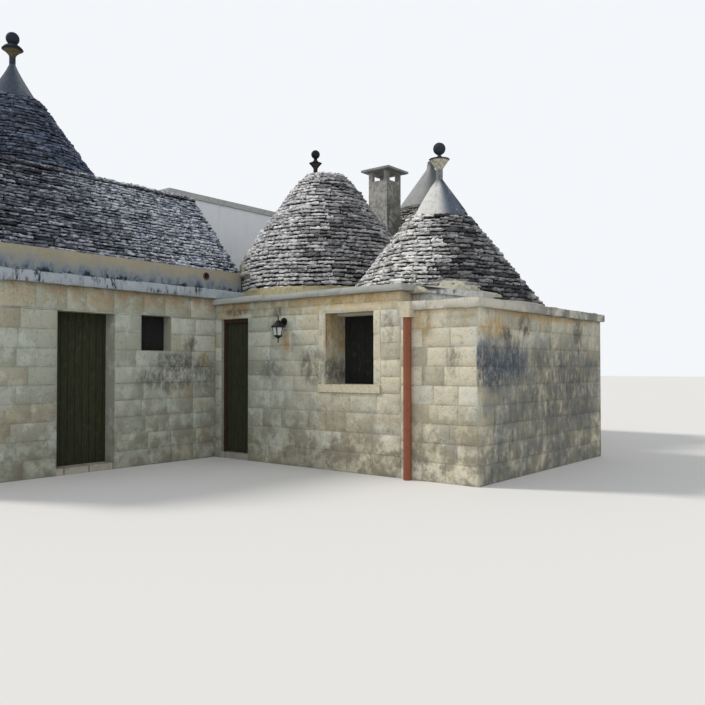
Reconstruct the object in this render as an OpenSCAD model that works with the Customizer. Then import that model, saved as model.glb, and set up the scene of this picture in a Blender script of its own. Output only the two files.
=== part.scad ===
// Trullo house of dry stone and lime-washed tufa. The main block carries the tall cone and a gabled
// wing roof. The lower court block carries the bell dome, the corner cone and the chimney. A rear
// room under a rough cone and a plain rendered block stand behind them. Sizes are in millimetres.
// X runs along the court face, Y runs to the back and Z runs up. Plan sizes are taken from the inner
// corner, where the main block's door face meets the court face.

/* [Main block] */
// Width of the main block
main_w = 6600; // [6300:50:6900]
// Reach of the main block in front of the inner corner
main_front = 5100; // [4900:50:5400]
// Thickness of the main block's walls, which is also its reach behind the inner corner
main_wall_t = 800; // [700:10:900]
// Height of the main block's walls
main_wall_h = 2820; // [2810:10:3000]
// Thickness of the main cornice slabs
main_cornice_t = 150; // [120:5:180]
// Overhang of the main cornice
main_cornice_out = 100; // [60:5:140]
// Height of the frieze above the main cornice
frieze_h = 400; // [350:10:500]
// Distance from the wall face back to the frieze face
frieze_in = 200; // [150:10:240]

/* [Main doorway and window] */
// Distance from the inner corner to the main doorway
main_door_off = 2040; // [1900:10:2150]
// Width of the main doorway
main_door_w = 960; // [850:10:1050]
// Height of the main doorway
main_door_h = 2440; // [2200:10:2500]
// Depth of the main door behind the wall face
main_door_recess = 250; // [150:10:400]
// Thickness of the main door
main_door_t = 60; // [45:5:80]
// Distance from the inner corner to the main window
main_window_off = 963; // [850:1:1050]
// Width of the main window
main_window_w = 587; // [500:1:650]
// Height of the main window's sill
main_window_sill = 1870; // [1700:10:1950]
// Height of the main window
main_window_h = 580; // [500:10:650]
// Depth of the main window's shutter behind the wall face
main_window_recess = 200; // [150:10:300]
// Thickness of each shutter
shutter_t = 50; // [30:5:70]

/* [Main roofs] */
// Outer radius of the main cone at its foot
main_cone_r = 2800; // [2740:10:2860]
// Height from the main cone's foot to the point where its slopes would meet
main_cone_h = 3920; // [3700:10:4100]
// Distance from the top of the main cone's stones up to the point where its slopes would meet
main_cut = 750; // [680:10:760]
// Thickness of the main cone's shell, measured level
main_cone_t = 700; // [680:10:800]
// Distance from the door face of the main block to the foot of the main cone
main_cone_edge = 500; // [450:10:550]
// Distance from the foot of the main cone to the back of the main block
main_cone_back = 100; // [60:10:150]
// Radius of the main cone's cap at its foot
main_cap_r = 455; // [430:5:480]
// Height of the smooth cap on the main cone
main_cap_h = 690; // [600:10:750]
// How fast the main cone's cap narrows, where 1 gives a straight cone
main_cap_curve = 1.15; // [1:0.05:1.4]
// Half of the span of the gabled roof
gable_half = 1410; // [1380:10:1440]
// Rise of the gabled roof
gable_rise = 1630; // [1560:10:1660]
// Outer diameter of the clay vent
vent_d = 130; // [100:5:140]
// Wall of the clay vent
vent_wall = 15; // [10:1:20]
// Depth of the clay vent in the frieze
vent_depth = 250; // [150:10:300]
// Distance that the clay vent stands out of the frieze
vent_out = 20; // [10:5:40]
// Distance from the inner corner to the clay vent
vent_off = 50; // [0:10:300]
// Height of the clay vent's axis above the main cornice
vent_up = 270; // [200:10:290]

/* [Court block] */
// Width of the court face
court_w = 5320; // [5250:10:5500]
// Depth of the court block
court_d = 4450; // [4400:10:4600]
// Thickness of the court block's front wall
court_front_t = 600; // [560:10:650]
// Thickness of the court block's side wall
court_side_t = 600; // [500:10:620]
// Thickness of the court block's back wall
court_back_t = 800; // [700:10:850]
// Height of the court block's walls
court_wall_h = 2410; // [2380:5:2430]
// Thickness of the lower roof slab, whose edge is the corner cornice
court_slab_t = 120; // [100:5:150]
// Overhang of the court block's cornices
court_cornice_out = 80; // [50:5:120]
// Height of the upper roof above the lower roof slab
court_step_h = 270; // [240:5:275]
// Thickness of the court face's cornice slabs
court_cornice_t = 90; // [60:5:110]
// Depth of the parapet strip behind the court face
parapet_t = 300; // [270:10:350]
// Width of the raised part of the court face
raised_w = 4060; // [4000:10:4100]
// Distance from the inner corner back to the far side of the court room's west bay
west_bay = 2400; // [2200:10:2500]
// Distance from the court's corner to the low end of the sloping coping
coping_end = 85; // [40:5:150]
// Width of the sloping coping
coping_w = 300; // [250:10:350]
// Height of the sloping coping's low end above the lower roof slab
coping_low = 100; // [90:5:130]
// Thickness of the sloping coping
coping_t = 85; // [60:5:88]
// Overhang of the sloping coping over the low wall that carries it
coping_out = 25; // [15:5:40]

/* [Court doorway] */
// Distance from the inner corner to the court doorway
court_door_off = 177; // [150:1:220]
// Width of the court doorway
court_door_w = 681; // [650:1:750]
// Height of the court doorway
court_door_h = 2440; // [2425:5:2480]
// Depth of the court door behind the wall face
court_door_recess = 110; // [90:5:150]
// Thickness of the court door
court_door_t = 45; // [35:1:60]
// Clearance around the court door
door_gap = 8; // [6:1:12]
// Distance from the jamb to the hinge axis
hinge_off = 24; // [22:1:30]
// Diameter of the hinge pins
hinge_pin_d = 14; // [12:1:16]
// Radial clearance between a hinge pin and its eye
hinge_gap = 1; // [1:0.5:1.5]
// Wall of a hinge eye
hinge_eye_t = 6; // [5:1:7]
// Height of a hinge eye
hinge_eye_h = 90; // [60:5:120]
// Height of the lower hinge above the threshold
hinge_low = 300; // [200:10:500]
// Height of the upper hinge above the threshold
hinge_high = 1850; // [1500:10:1950]
// Width of the court door frame's strips
frame_w = 30; // [26:1:40]
// Height of the court door frame's head strip
frame_head_h = 60; // [50:5:90]
// Thickness of the court door frame
frame_t = 50; // [40:5:60]
// Height of the thresholds and the ground floor
floor_h = 100; // [60:10:120]

/* [Court window] */
// Distance from the court window to the end of the raised part of the court face
window_side = 493; // [400:1:550]
// Width of the court window
court_window_w = 954; // [850:1:1000]
// Height of the court window's sill
court_window_sill = 1330; // [1200:10:1400]
// Top of the court window
court_window_top = 2440; // [2400:5:2480]
// Depth of the court window's shutter behind the wall face
court_window_recess = 490; // [400:10:500]
// Width of the stone surround of the court window
surround_w = 130; // [100:5:160]
// Depth of the stone surround in the wall
surround_t = 150; // [100:10:200]
// Thickness of the window sill stone
sill_t = 120; // [90:5:150]
// Distance that the window sill stone stands out of the wall
sill_out = 30; // [15:5:60]

/* [Bell dome and corner cone] */
// Distance from the inner corner to the axis of the bell dome along the court face
bell_x = 600; // [550:10:650]
// Distance that the bell dome's foot reaches in front of the main block's back
bell_lap = 160; // [120:10:170]
// Outer radius of the bell dome at its foot
bell_r = 1660; // [1620:10:1700]
// Height of the bell dome above its drum
bell_h = 2370; // [2200:10:2500]
// Thickness of the bell dome's shell
bell_t = 450; // [400:10:500]
// Height of the drum under the bell dome
drum_h = 200; // [150:10:250]
// Distance from the foot of the bell dome in to the face of its drum
drum_in = 60; // [30:5:100]
// Radius of the flat crown of the bell dome
crown_r = 400; // [360:10:450]
// Distance that the corner cone's foot reaches past the bell dome's foot, which is higher
corner_lap = 310; // [280:5:315]
// Distance from the court face to the axis of the corner cone
corner_y = 1700; // [1680:10:1750]
// Outer radius of the corner cone at its foot
corner_r = 1700; // [1650:10:1720]
// Height from the corner cone's foot to the point where its slopes would meet
corner_h = 2220; // [2100:10:2350]
// Distance from the top of the corner cone's stones up to the point where its slopes would meet
corner_cut = 700; // [660:10:720]
// Thickness of the corner cone's shell, measured level
corner_t = 650; // [620:10:700]
// Height of the smooth cap on the corner cone
corner_cap_h = 660; // [600:10:700]
// Radius of the corner cone's cap at its foot
corner_cap_r = 450; // [430:5:480]
// How fast the corner cone's cap narrows, where 1 gives a straight cone
corner_cap_curve = 0.9; // [0.8:0.05:1.2]

/* [Pinnacles] */
// Radius of the main pinnacle's neck
main_neck_r = 56; // [50:1:70]
// Height of the main pinnacle's neck
main_neck_h = 150; // [120:10:200]
// Radius of the main pinnacle's bowl at its rim
main_bowl_r = 190; // [170:5:200]
// Height of the main pinnacle's bowl
main_bowl_h = 140; // [110:5:160]
// Height from the main pinnacle's rim to its ball
main_shoulder_h = 90; // [70:5:110]
// Radius of the main pinnacle's stem under the ball
main_stem_r = 60; // [50:1:70]
// Radius of the main pinnacle's ball
main_ball_r = 120; // [110:5:130]
// Radius of the corner pinnacle's neck
corner_neck_r = 57; // [50:1:65]
// Height of the corner pinnacle's neck
corner_neck_h = 180; // [150:10:220]
// Radius of the corner pinnacle's bowl at its rim
corner_bowl_r = 172; // [160:1:185]
// Height of the corner pinnacle's bowl
corner_bowl_h = 165; // [140:5:180]
// Height from the corner pinnacle's rim to its ball
corner_shoulder_h = 80; // [60:5:100]
// Radius of the corner pinnacle's stem under the ball
corner_stem_r = 28; // [22:1:35]
// Radius of the corner pinnacle's ball
corner_ball_r = 103; // [95:1:115]
// Radius of the bell pinnacle's neck
bell_neck_r = 42; // [36:1:50]
// Height of the bell pinnacle's neck
bell_neck_h = 170; // [150:10:190]
// Radius of the bell pinnacle's bowl at its rim
bell_bowl_r = 127; // [115:1:140]
// Height of the bell pinnacle's bowl
bell_bowl_h = 110; // [90:5:130]
// Height from the bell pinnacle's rim to its ball
bell_shoulder_h = 95; // [80:5:110]
// Radius of the bell pinnacle's stem under the ball
bell_stem_r = 34; // [28:1:40]
// Radius of the bell pinnacle's ball
bell_ball_r = 86; // [78:1:95]
// Distance from the bell dome's axis to the bell pinnacle, along each of X and Y
bell_pinnacle_off = 135; // [100:5:160]

/* [Chimney] */
// Distance from the inner corner to the chimney's axis along the court face
chimney_x = 820; // [780:10:860]
// Distance from the court face to the chimney's axis
chimney_y = 4000; // [3980:10:4050]
// Width of the chimney shaft
chimney_w = 490; // [450:10:520]
// Height of the chimney shaft above the court roof
chimney_h = 2760; // [2600:10:2900]
// Width of the flue
flue_w = 240; // [200:10:260]
// Depth of the flue below the top of the shaft
flue_depth = 900; // [500:50:1200]
// Height of the four posts on the chimney shaft
chimney_post_h = 210; // [150:5:250]
// Width of each chimney post
chimney_post_w = 90; // [80:5:110]
// Width of the chimney cap
chimney_cap_w = 730; // [680:10:780]
// Thickness of the chimney cap's edge
chimney_cap_t = 45; // [35:5:70]
// Rise of the chimney cap
chimney_cap_rise = 100; // [80:5:150]

/* [Rear room] */
// Width of the rear room outside
rear_w = 4400; // [4300:10:4600]
// Depth of the rear room behind the court block
rear_d = 3950; // [3900:10:4100]
// Thickness of the rear room's walls
rear_wall_t = 600; // [550:10:620]
// Thickness of the rear roof slab
rear_slab_t = 150; // [120:10:200]
// Overhang of the rear roof slab
rear_out = 60; // [30:10:100]
// Distance that the rear roof slab laps over the court block's back wall
rear_lap = 450; // [430:10:480]
// Distance from the inner corner to the axis of the rear cone along the court face
rear_x = 700; // [680:10:720]
// Distance from the back of the court block to the axis of the rear cone
rear_y = 1550; // [1540:10:1700]
// Outer radius of the rear cone at its foot
rear_r = 1980; // [1900:10:1990]
// Outer radius of the rear cone at its bend
rear_bend_r = 1340; // [1300:10:1400]
// Height of the rear cone's bend above its foot
rear_bend_h = 1550; // [1450:10:1650]
// Height of the rear cone's stone courses
rear_stone_h = 2350; // [2250:10:2450]
// Height of the rear cone with its rough cap, up to its blunt tip
rear_h = 3350; // [3200:10:3450]
// Radius of the rear cone's blunt tip
rear_tip_r = 80; // [60:5:100]
// Height of the rear cone's blunt tip
rear_tip_h = 175; // [120:5:220]
// Thickness of the rear cone's shell, measured level
rear_t = 550; // [520:10:600]

/* [Rendered block] */
// Width of the rendered block
white_w = 4000; // [3800:50:4150]
// Depth of the rendered block
white_d = 4200; // [4000:50:4400]
// Thickness of the rendered block's walls
white_t = 400; // [350:10:450]
// Height of the rendered block's walls
white_wall_h = 5040; // [4850:10:5150]
// Thickness of the rendered block's roof slab
white_slab_t = 180; // [150:10:220]
// Thickness of the rendered block's coping
white_coping_t = 120; // [90:5:150]
// Width of the rendered block's coping
white_coping_w = 430; // [400:10:450]

/* [Inner doorways] */
// Width of each inner doorway
inner_door_w = 900; // [800:10:1000]
// Height of each inner doorway
inner_door_h = 2100; // [1950:10:2200]
// Distance from the main block's door wall to the doorway between main room and court room
main_inner_off = 300; // [200:10:500]
// Distance from the inner corner to the doorway of the rear room
rear_inner_off = 1250; // [1200:10:1300]
// Distance from the court face to the doorway of the rendered block
white_inner_off = 1700; // [1600:10:1900]

/* [Lantern and drainpipe] */
// Distance from the inner corner to the lantern
lantern_x = 1730; // [1600:10:1800]
// Height of the lantern's wall plate
lantern_z = 2342; // [2250:1:2380]
// Radius of the lantern's wall plate
lantern_plate_r = 65; // [50:1:75]
// Thickness of the lantern's wall plate
lantern_plate_t = 22; // [18:1:30]
// Distance from the wall to the lantern's axis
lantern_out = 150; // [140:5:170]
// Thickness of the lantern's arm
lantern_arm_t = 18; // [14:1:24]
// Distance from the lantern's arm down to the rim of its hood
lantern_drop = 95; // [85:1:105]
// Radius of the lantern's hood at its rim
lantern_hood_r = 120; // [110:1:125]
// Height of the lantern's hood
lantern_hood_h = 118; // [110:1:130]
// Height of the knob on the lantern's hood
lantern_knob_h = 65; // [40:1:80]
// Radius of the lantern's body at its top, across its corners
lantern_r = 105; // [95:1:108]
// Radius of the lantern's body at its foot, across its corners
lantern_foot_r = 72; // [60:1:80]
// Height of the lantern's body
lantern_h = 145; // [130:1:160]
// Height of the cone under the lantern's body
lantern_cone_h = 42; // [35:1:50]
// Height of the spike under the lantern
lantern_tip_h = 68; // [50:1:80]
// Distance from the end of the raised part of the court face to the drainpipe
pipe_off = 160; // [140:10:200]
// Outer diameter of the drainpipe
pipe_d = 115; // [100:5:125]
// Wall of the drainpipe
pipe_wall = 10; // [8:1:15]
// Distance from the wall face to the drainpipe
pipe_gap = 10; // [5:1:15]
// Width of the stone rain box
box_w = 180; // [170:5:200]
// Depth of the stone rain box
box_d = 140; // [135:5:160]
// Height of the stone rain box
box_h = 225; // [180:5:230]

/* [Hidden] */
$fn = 240;
// Clearance where masonry is built around another roof
built_gap = 5;
// Distance that a cut runs past the face it opens
cut = 50;
// Points along the curved flank of a smooth cap or a finial
cap_steps = 6;
// Share of a ball's radius that stands above the stem's top
ball_sunk = 0.95;
// Outline of the bell dome, as shares of its radius and height
bell_outline = [[1, 0], [0.995, 0.23], [0.965, 0.3], [0.905, 0.365], [0.745, 0.55], [0.58, 0.695],
    [0.465, 0.82], [0.35, 0.925]];
main_x0 = -main_w;
main_y0 = -main_front;
main_y1 = main_wall_t;
main_top = main_wall_h + main_cornice_t + frieze_h;
main_cone_pos = [-main_cone_edge - main_cone_r, main_y1 - main_cone_back - main_cone_r, main_top];
main_stone_h = main_cone_h - main_cut;
main_door_y1 = -main_door_off;
main_door_y0 = main_door_y1 - main_door_w;
main_window_y1 = -main_window_off;
main_window_y0 = main_window_y1 - main_window_w;
main_window_top = main_window_sill + main_window_h;
slab_top = court_wall_h + court_slab_t;
court_top = slab_top + court_step_h;
parapet_h = court_top - court_cornice_t;
court_x0 = -west_bay;
court_room_y1 = court_d - court_back_t;
court_door_x1 = court_door_off + court_door_w;
door_axis_x = court_door_off + hinge_off;
door_axis_y = court_door_recess + court_door_t;
hinge_eye_r = hinge_pin_d / 2 + hinge_gap + hinge_eye_t;
window_x1 = raised_w - window_side;
court_window_off = window_x1 - court_window_w;
coping_x0 = raised_w + court_cornice_out;
coping_x1 = court_w - coping_end;
bell_foot = court_top + drum_h;
bell_top = bell_foot + bell_h;
bell_y = main_y1 + bell_r - bell_lap;
corner_x = bell_x + bell_r + corner_r - corner_lap;
corner_pos = [corner_x, corner_y, slab_top];
corner_stone_h = corner_h - corner_cut;
chimney_foot = court_top;
chimney_top = chimney_foot + chimney_h;
rear_y0 = court_d;
rear_y1 = court_d + rear_d;
rear_x0 = rear_x - rear_w / 2;
rear_x1 = rear_x + rear_w / 2;
rear_wall_h = court_top;
rear_top = rear_wall_h + rear_slab_t;
rear_pos = [rear_x, court_d + rear_y, rear_top];
white_x0 = court_x0 - white_w;
white_x1 = court_x0;
white_y0 = main_y1;
white_y1 = main_y1 + white_d;
white_top = white_wall_h + white_slab_t;
pipe_x = raised_w + pipe_off;
box_top = slab_top;
pipe_top = box_top - box_h;
pipe_y = -pipe_gap - pipe_d / 2;
// Middle of the house's outline, which stands over the frame's origin
mid_x = (main_x0 - main_cornice_out + court_w + court_cornice_out) / 2;
mid_y = (main_y0 - main_cornice_out + rear_y1 + rear_out) / 2;

// The whole house is drawn from the inner corner and then moved over the frame's origin
module placed() {
    translate([-mid_x, -mid_y, 0]) children();
}

// A block between its lowest and highest corners
module block(low, high) {
    translate(low) cube(high - low);
}

// A round shape between two heights on an upright axis
module round_block(x, y, z0, z1, r) {
    translate([x, y, z0]) cylinder(r = r, h = z1 - z0);
}

// The solid outside of a cone, grown by a clearance, to cut what is built around it
module cone_cutter(pos, r, h, gap) {
    translate(pos) rotate_extrude() polygon([[0, -cut], [r + gap, -cut], [r + gap, 0],
        [gap, h], [0, h]]);
}

// A hollow cone of stone courses, flat on top where its cap sits
module cone_shell(pos, r, h, stone_h, t) {
    translate(pos) rotate_extrude() polygon([[r - t, 0], [r, 0], [r * (1 - stone_h / h), stone_h],
        [0, stone_h], [0, (r - t) * h / r]]);
}

// A smooth render cap, whose flank curves in from the stones to the neck
module smooth_cap(pos, r0, r1, h, curve) {
    flank = [for (i = [0:cap_steps]) [r1 + (r0 - r1) * pow(1 - i / cap_steps, curve),
        h * i / cap_steps]];
    translate(pos) rotate_extrude() polygon(concat([[0, 0]], flank, [[0, h]]));
}

// A finial: neck, bowl that flares out to a sharp rim, shoulder that narrows to the stem, and ball.
// A flare above 1 is hollow and a shoulder below 1 is domed.
module pinnacle(pos, neck, bowl, flare, shoulder, stem_r, narrowing, ball_r) {
    rim_z = neck.y + bowl.y;
    top_z = rim_z + shoulder;
    steps = [for (i = [1:cap_steps]) i / cap_steps];
    translate(pos) {
        rotate_extrude() polygon(concat([[0, 0], [neck.x, 0], [neck.x, neck.y]],
            [for (s = steps) [neck.x + (bowl.x - neck.x) * pow(s, flare), neck.y + bowl.y * s]],
            [for (s = steps) [stem_r + (bowl.x - stem_r) * pow(1 - s, narrowing), rim_z + shoulder * s]],
            [[stem_r, top_z + ball_r], [0, top_z + ball_r]]));
        translate([0, 0, top_z + ball_r * ball_sunk]) sphere(r = ball_r);
    }
}

module main_wall_south() {
    color("cornsilk") placed() block([-main_wall_t, main_y0, 0], [0, main_door_y0, main_wall_h]);
}

module main_wall_over_door() {
    color("cornsilk") placed()
        block([-main_wall_t, main_door_y0, main_door_h], [0, main_door_y1, main_wall_h]);
}

module main_wall_north() {
    color("cornsilk") placed() difference() {
        block([-main_wall_t, main_door_y1, 0], [0, main_y1, main_wall_h]);
        block([-main_wall_t - cut, main_window_y0, main_window_sill],
            [cut, main_window_y1, main_window_top]);
    }
}

module main_side_walls() {
    color("cornsilk") placed() {
        block([main_x0, main_y0, 0], [-main_wall_t, main_y0 + main_wall_t, main_wall_h]);
        block([main_x0, main_y0 + main_wall_t, 0], [main_x0 + main_wall_t, main_y1, main_wall_h]);
    }
}

module main_inner_wall() {
    door_x1 = -main_wall_t - main_inner_off;
    color("cornsilk") placed() difference() {
        block([main_x0 + main_wall_t, 0, 0], [-main_wall_t, main_y1, main_wall_h]);
        block([door_x1 - inner_door_w, -cut, -cut], [door_x1, main_y1 + cut, inner_door_h]);
    }
}

module main_cornice() {
    out = main_cornice_out;
    color("silver") placed() translate([0, 0, main_wall_h]) linear_extrude(main_cornice_t)
        polygon([[main_x0 - out, main_y1], [main_x0 - out, main_y0 - out], [out, main_y0 - out],
            [out, 0], [0, 0], [0, main_y1], [-frieze_in, main_y1], [-frieze_in, main_y0 + frieze_in],
            [main_x0 + frieze_in, main_y0 + frieze_in], [main_x0 + frieze_in, main_y1]]);
}

module vent_hole(r, depth, out) {
    translate([out - frieze_in, -vent_off, main_wall_h + main_cornice_t + vent_up])
        rotate([0, -90, 0]) cylinder(r = r, h = depth + out);
}

module main_roof_deck() {
    color("tan") placed() difference() {
        block([main_x0 + frieze_in, main_y0 + frieze_in, main_wall_h], [-frieze_in, main_y1, main_top]);
        round_block(main_cone_pos.x, main_cone_pos.y, main_wall_h - cut, main_top + cut,
            main_cone_r - main_cone_t);
        vent_hole(vent_d / 2, vent_depth, vent_out);
    }
}

module clay_vent() {
    color("sienna") placed() difference() {
        vent_hole(vent_d / 2, vent_depth, vent_out);
        vent_hole(vent_d / 2 - vent_wall, vent_depth - vent_wall, vent_out + cut);
    }
}

module gable_roof() {
    color("gray") placed() difference() {
        translate([0, main_y1, 0]) rotate([90, 0, 0])
            linear_extrude(main_y1 - main_y0 - frieze_in) polygon([[-frieze_in, main_top],
                [-frieze_in - gable_half, main_top + gable_rise],
                [-frieze_in - 2 * gable_half, main_top]]);
        cone_cutter(main_cone_pos, main_cone_r, main_cone_h, built_gap);
    }
}

module main_cone() {
    color("dimgray") placed()
        cone_shell(main_cone_pos, main_cone_r, main_cone_h, main_stone_h, main_cone_t);
}

module main_cone_cap() {
    color("lightgray") placed() smooth_cap(main_cone_pos + [0, 0, main_stone_h],
        main_cap_r, main_neck_r, main_cap_h, main_cap_curve);
}

module main_pinnacle() {
    color("darkslategray") placed() pinnacle(main_cone_pos + [0, 0, main_stone_h + main_cap_h],
        [main_neck_r, main_neck_h], [main_bowl_r, main_bowl_h], 1.6, main_shoulder_h, main_stem_r,
        0.5, main_ball_r);
}

module main_door() {
    color("olive") placed() block([-main_door_recess - main_door_t, main_door_y0, floor_h],
        [-main_door_recess, main_door_y1, main_door_h]);
}

module window_shutters() {
    color("darkolivegreen") placed() {
        block([-main_window_recess - shutter_t, main_window_y0, main_window_sill],
            [-main_window_recess, main_window_y1, main_window_top]);
        block([court_window_off, court_window_recess, court_window_sill],
            [window_x1, court_window_recess + shutter_t, min(court_window_top, court_wall_h)]);
    }
}

module court_wall_corner() {
    color("cornsilk") placed() {
        block([0, 0, 0], [court_door_off, court_front_t, court_wall_h]);
        block([0, 0, court_wall_h], [court_door_off, parapet_t, parapet_h]);
    }
}

module court_lintel() {
    color("cornsilk") placed()
        block([court_door_off, 0, court_door_h], [court_door_x1, parapet_t, parapet_h]);
}

// The space that the window surround and its sill fill in the court face
module surround_space(depth) {
    block([court_window_off - surround_w, 0, court_window_sill],
        [window_x1 + surround_w, depth, court_window_top + surround_w]);
}

module court_window_wall() {
    color("cornsilk") placed() difference() {
        union() {
            block([court_door_x1, 0, 0], [court_w, court_front_t, court_wall_h]);
            block([court_door_x1, 0, court_wall_h], [raised_w, parapet_t, parapet_h]);
        }
        translate([0, -cut, 0]) surround_space(surround_t + cut);
        block([court_window_off, -cut, court_window_sill],
            [window_x1, court_front_t + cut, court_window_top]);
        block([court_window_off - surround_w, -cut, court_window_sill - sill_t],
            [window_x1 + surround_w, court_window_recess, court_window_sill]);
    }
}

module window_surround() {
    color("gainsboro") placed() difference() {
        surround_space(surround_t);
        block([court_window_off, -cut, court_window_sill - cut],
            [window_x1, surround_t + cut, court_window_top]);
    }
}

module window_sill() {
    color("gainsboro") placed()
        block([court_window_off - surround_w, -sill_out, court_window_sill - sill_t],
            [window_x1 + surround_w, court_window_recess, court_window_sill]);
}

module court_side_wall() {
    color("cornsilk") placed() block([court_w - court_side_t, court_front_t, 0],
        [court_w, court_room_y1, court_wall_h]);
}

module court_inner_wall() {
    color("cornsilk") placed() difference() {
        block([court_x0, court_room_y1, 0], [court_w, court_d, court_wall_h]);
        block([rear_inner_off, court_room_y1 - cut, -cut],
            [rear_inner_off + inner_door_w, court_d + cut, inner_door_h]);
    }
}

module roof_holes(z0, z1) {
    round_block(bell_x, bell_y, z0 - cut, z1 + cut, bell_r - bell_t);
    round_block(corner_x, corner_y, z0 - cut, z1 + cut, corner_r - corner_t);
}

module lower_roof_slab() {
    out = court_cornice_out;
    box_x1 = pipe_x + box_w / 2;
    color("silver") placed() difference() {
        translate([0, 0, court_wall_h]) linear_extrude(court_slab_t) polygon([[court_x0, main_y1],
            [0, main_y1], [0, parapet_t], [raised_w, parapet_t], [raised_w, 0], [box_x1, 0],
            [box_x1, -out], [court_w + out, -out], [court_w + out, court_d], [court_x0, court_d]]);
        roof_holes(court_wall_h, slab_top);
    }
}

module upper_roof_slab() {
    color("tan") placed() difference() {
        translate([0, 0, slab_top]) linear_extrude(court_step_h) polygon([[court_x0, main_y1],
            [0, main_y1], [0, parapet_t], [corner_x, parapet_t], [corner_x, corner_y],
            [raised_w, corner_y], [raised_w, court_d], [court_x0, court_d]]);
        round_block(bell_x, bell_y, slab_top - cut, court_top + cut, bell_r - bell_t);
        cone_cutter(corner_pos, corner_r, corner_h, built_gap);
    }
}

module court_cornice() {
    color("silver") placed() block([0, -court_cornice_out, parapet_h],
        [raised_w + court_cornice_out, parapet_t, court_top]);
}

// A plate along the sloping coping, given by the heights of its two ends
module sloped(y0, y1, low0, high0, low1, high1, gap = 0) {
    translate([0, y1, 0]) rotate([90, 0, 0]) linear_extrude(y1 - y0) polygon([[coping_x0 - gap, low0],
        [coping_x1 + gap, low1], [coping_x1 + gap, high1], [coping_x0 - gap, high0]]);
}

module sloping_coping() {
    end_top = slab_top + coping_low;
    color("silver") placed() {
        sloped(parapet_t, parapet_t + coping_w, court_top - coping_t, court_top, end_top - coping_t,
            end_top);
        sloped(parapet_t + coping_out, parapet_t + coping_w, slab_top, court_top - coping_t, slab_top,
            end_top - coping_t);
    }
}

// An upright shape on the court door's hinge axis
module on_hinge(z0, z1, r) {
    round_block(door_axis_x, door_axis_y, z0, z1, r);
}

module court_door() {
    low = floor_h + door_gap;
    color("darkolivegreen") placed() difference() {
        union() {
            block([door_axis_x, court_door_recess, low],
                [court_door_x1 - door_gap, door_axis_y, court_door_h - frame_head_h]);
            for (up = [hinge_low, hinge_high])
                on_hinge(floor_h + up, floor_h + up + hinge_eye_h, hinge_eye_r);
        }
        for (up = [hinge_low, hinge_high]) {
            on_hinge(floor_h + up - cut, floor_h + up + hinge_eye_h + cut, hinge_pin_d / 2 + hinge_gap);
            on_hinge(floor_h + up - cut, floor_h + up, hinge_eye_r + door_gap);
            on_hinge(floor_h + up + hinge_eye_h, floor_h + up + hinge_eye_h + cut, hinge_eye_r);
        }
    }
}

module court_door_frame() {
    front = court_door_recess - door_gap - frame_t;
    back = court_door_recess - door_gap;
    color("saddlebrown") placed() {
        block([court_door_off, front, court_door_h - frame_head_h],
            [court_door_x1, back, court_door_h]);
        block([court_door_off, front, floor_h],
            [court_door_off + frame_w, back, court_door_h - frame_head_h]);
        block([court_door_x1 - frame_w, front, floor_h],
            [court_door_x1, back, court_door_h - frame_head_h]);
    }
}

module door_pins() {
    plate_t = hinge_eye_t * 2;
    color("dimgray") placed() for (up = [hinge_low, hinge_high]) {
        on_hinge(floor_h + up - hinge_gap - plate_t, floor_h + up + hinge_eye_h, hinge_pin_d / 2);
        block([court_door_off, door_axis_y - hinge_pin_d / 2, floor_h + up - hinge_gap - plate_t],
            [door_axis_x, door_axis_y + hinge_pin_d / 2, floor_h + up - hinge_gap]);
    }
}

module lantern() {
    r = lantern_hood_r;
    h = lantern_hood_h;
    pin_r = lantern_arm_t / 2;
    knob_z = h + lantern_knob_h;
    color("black") placed() translate([lantern_x, 0, 0]) {
        translate([0, 0, lantern_z]) rotate([90, 0, 0]) cylinder(r = lantern_plate_r,
            h = lantern_plate_t);
        block([-pin_r, -lantern_out, lantern_z - pin_r], [pin_r, 0, lantern_z + pin_r]);
        translate([0, -lantern_out, lantern_z - lantern_drop]) {
            rotate_extrude() polygon([[0, 0], [r, 0], [r, h * 0.07], [r * 0.52, h * 0.55],
                [r * 0.5, h * 0.62], [r * 0.3, h * 0.9], [pin_r, h], [pin_r, knob_z], [0, knob_z]]);
            translate([0, 0, -lantern_h]) cylinder(r1 = lantern_foot_r, r2 = lantern_r, h = lantern_h,
                $fn = 6);
            translate([0, 0, -lantern_h - lantern_cone_h]) cylinder(r1 = pin_r, r2 = lantern_foot_r,
                h = lantern_cone_h);
            translate([0, 0, -lantern_h - lantern_cone_h - lantern_tip_h]) cylinder(r = pin_r,
                h = lantern_tip_h);
        }
    }
}

module drainpipe() {
    color("sienna") placed() difference() {
        round_block(pipe_x, pipe_y, 0, pipe_top, pipe_d / 2);
        round_block(pipe_x, pipe_y, -cut, pipe_top + cut, pipe_d / 2 - pipe_wall);
    }
}

module rain_box() {
    color("gainsboro") placed()
        block([pipe_x - box_w / 2, -box_d, pipe_top], [pipe_x + box_w / 2, 0, box_top]);
}

// Clearance block around the chimney shaft, cut from the roofs that meet it
module chimney_space() {
    half = chimney_w / 2 + built_gap;
    block([chimney_x - half, chimney_y - half, chimney_foot - cut],
        [chimney_x + half, chimney_y + half, chimney_top]);
}

module bell_dome() {
    outer = [for (p = bell_outline) [p.x * bell_r, p.y * bell_h]];
    count = len(outer);
    inner = [for (i = [count - 1:-1:0]) if (outer[i].x > bell_t) outer[i] - [bell_t, 0]];
    color("gray") placed() difference() {
        translate([bell_x, bell_y, bell_foot]) rotate_extrude() polygon(concat(outer,
            [[crown_r, bell_h], [0, bell_h], [0, inner[0].y]], inner,
            [[bell_r - bell_t, -drum_h], [bell_r - drum_in, -drum_h], [bell_r - drum_in, 0]]));
        chimney_space();
    }
}

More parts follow.
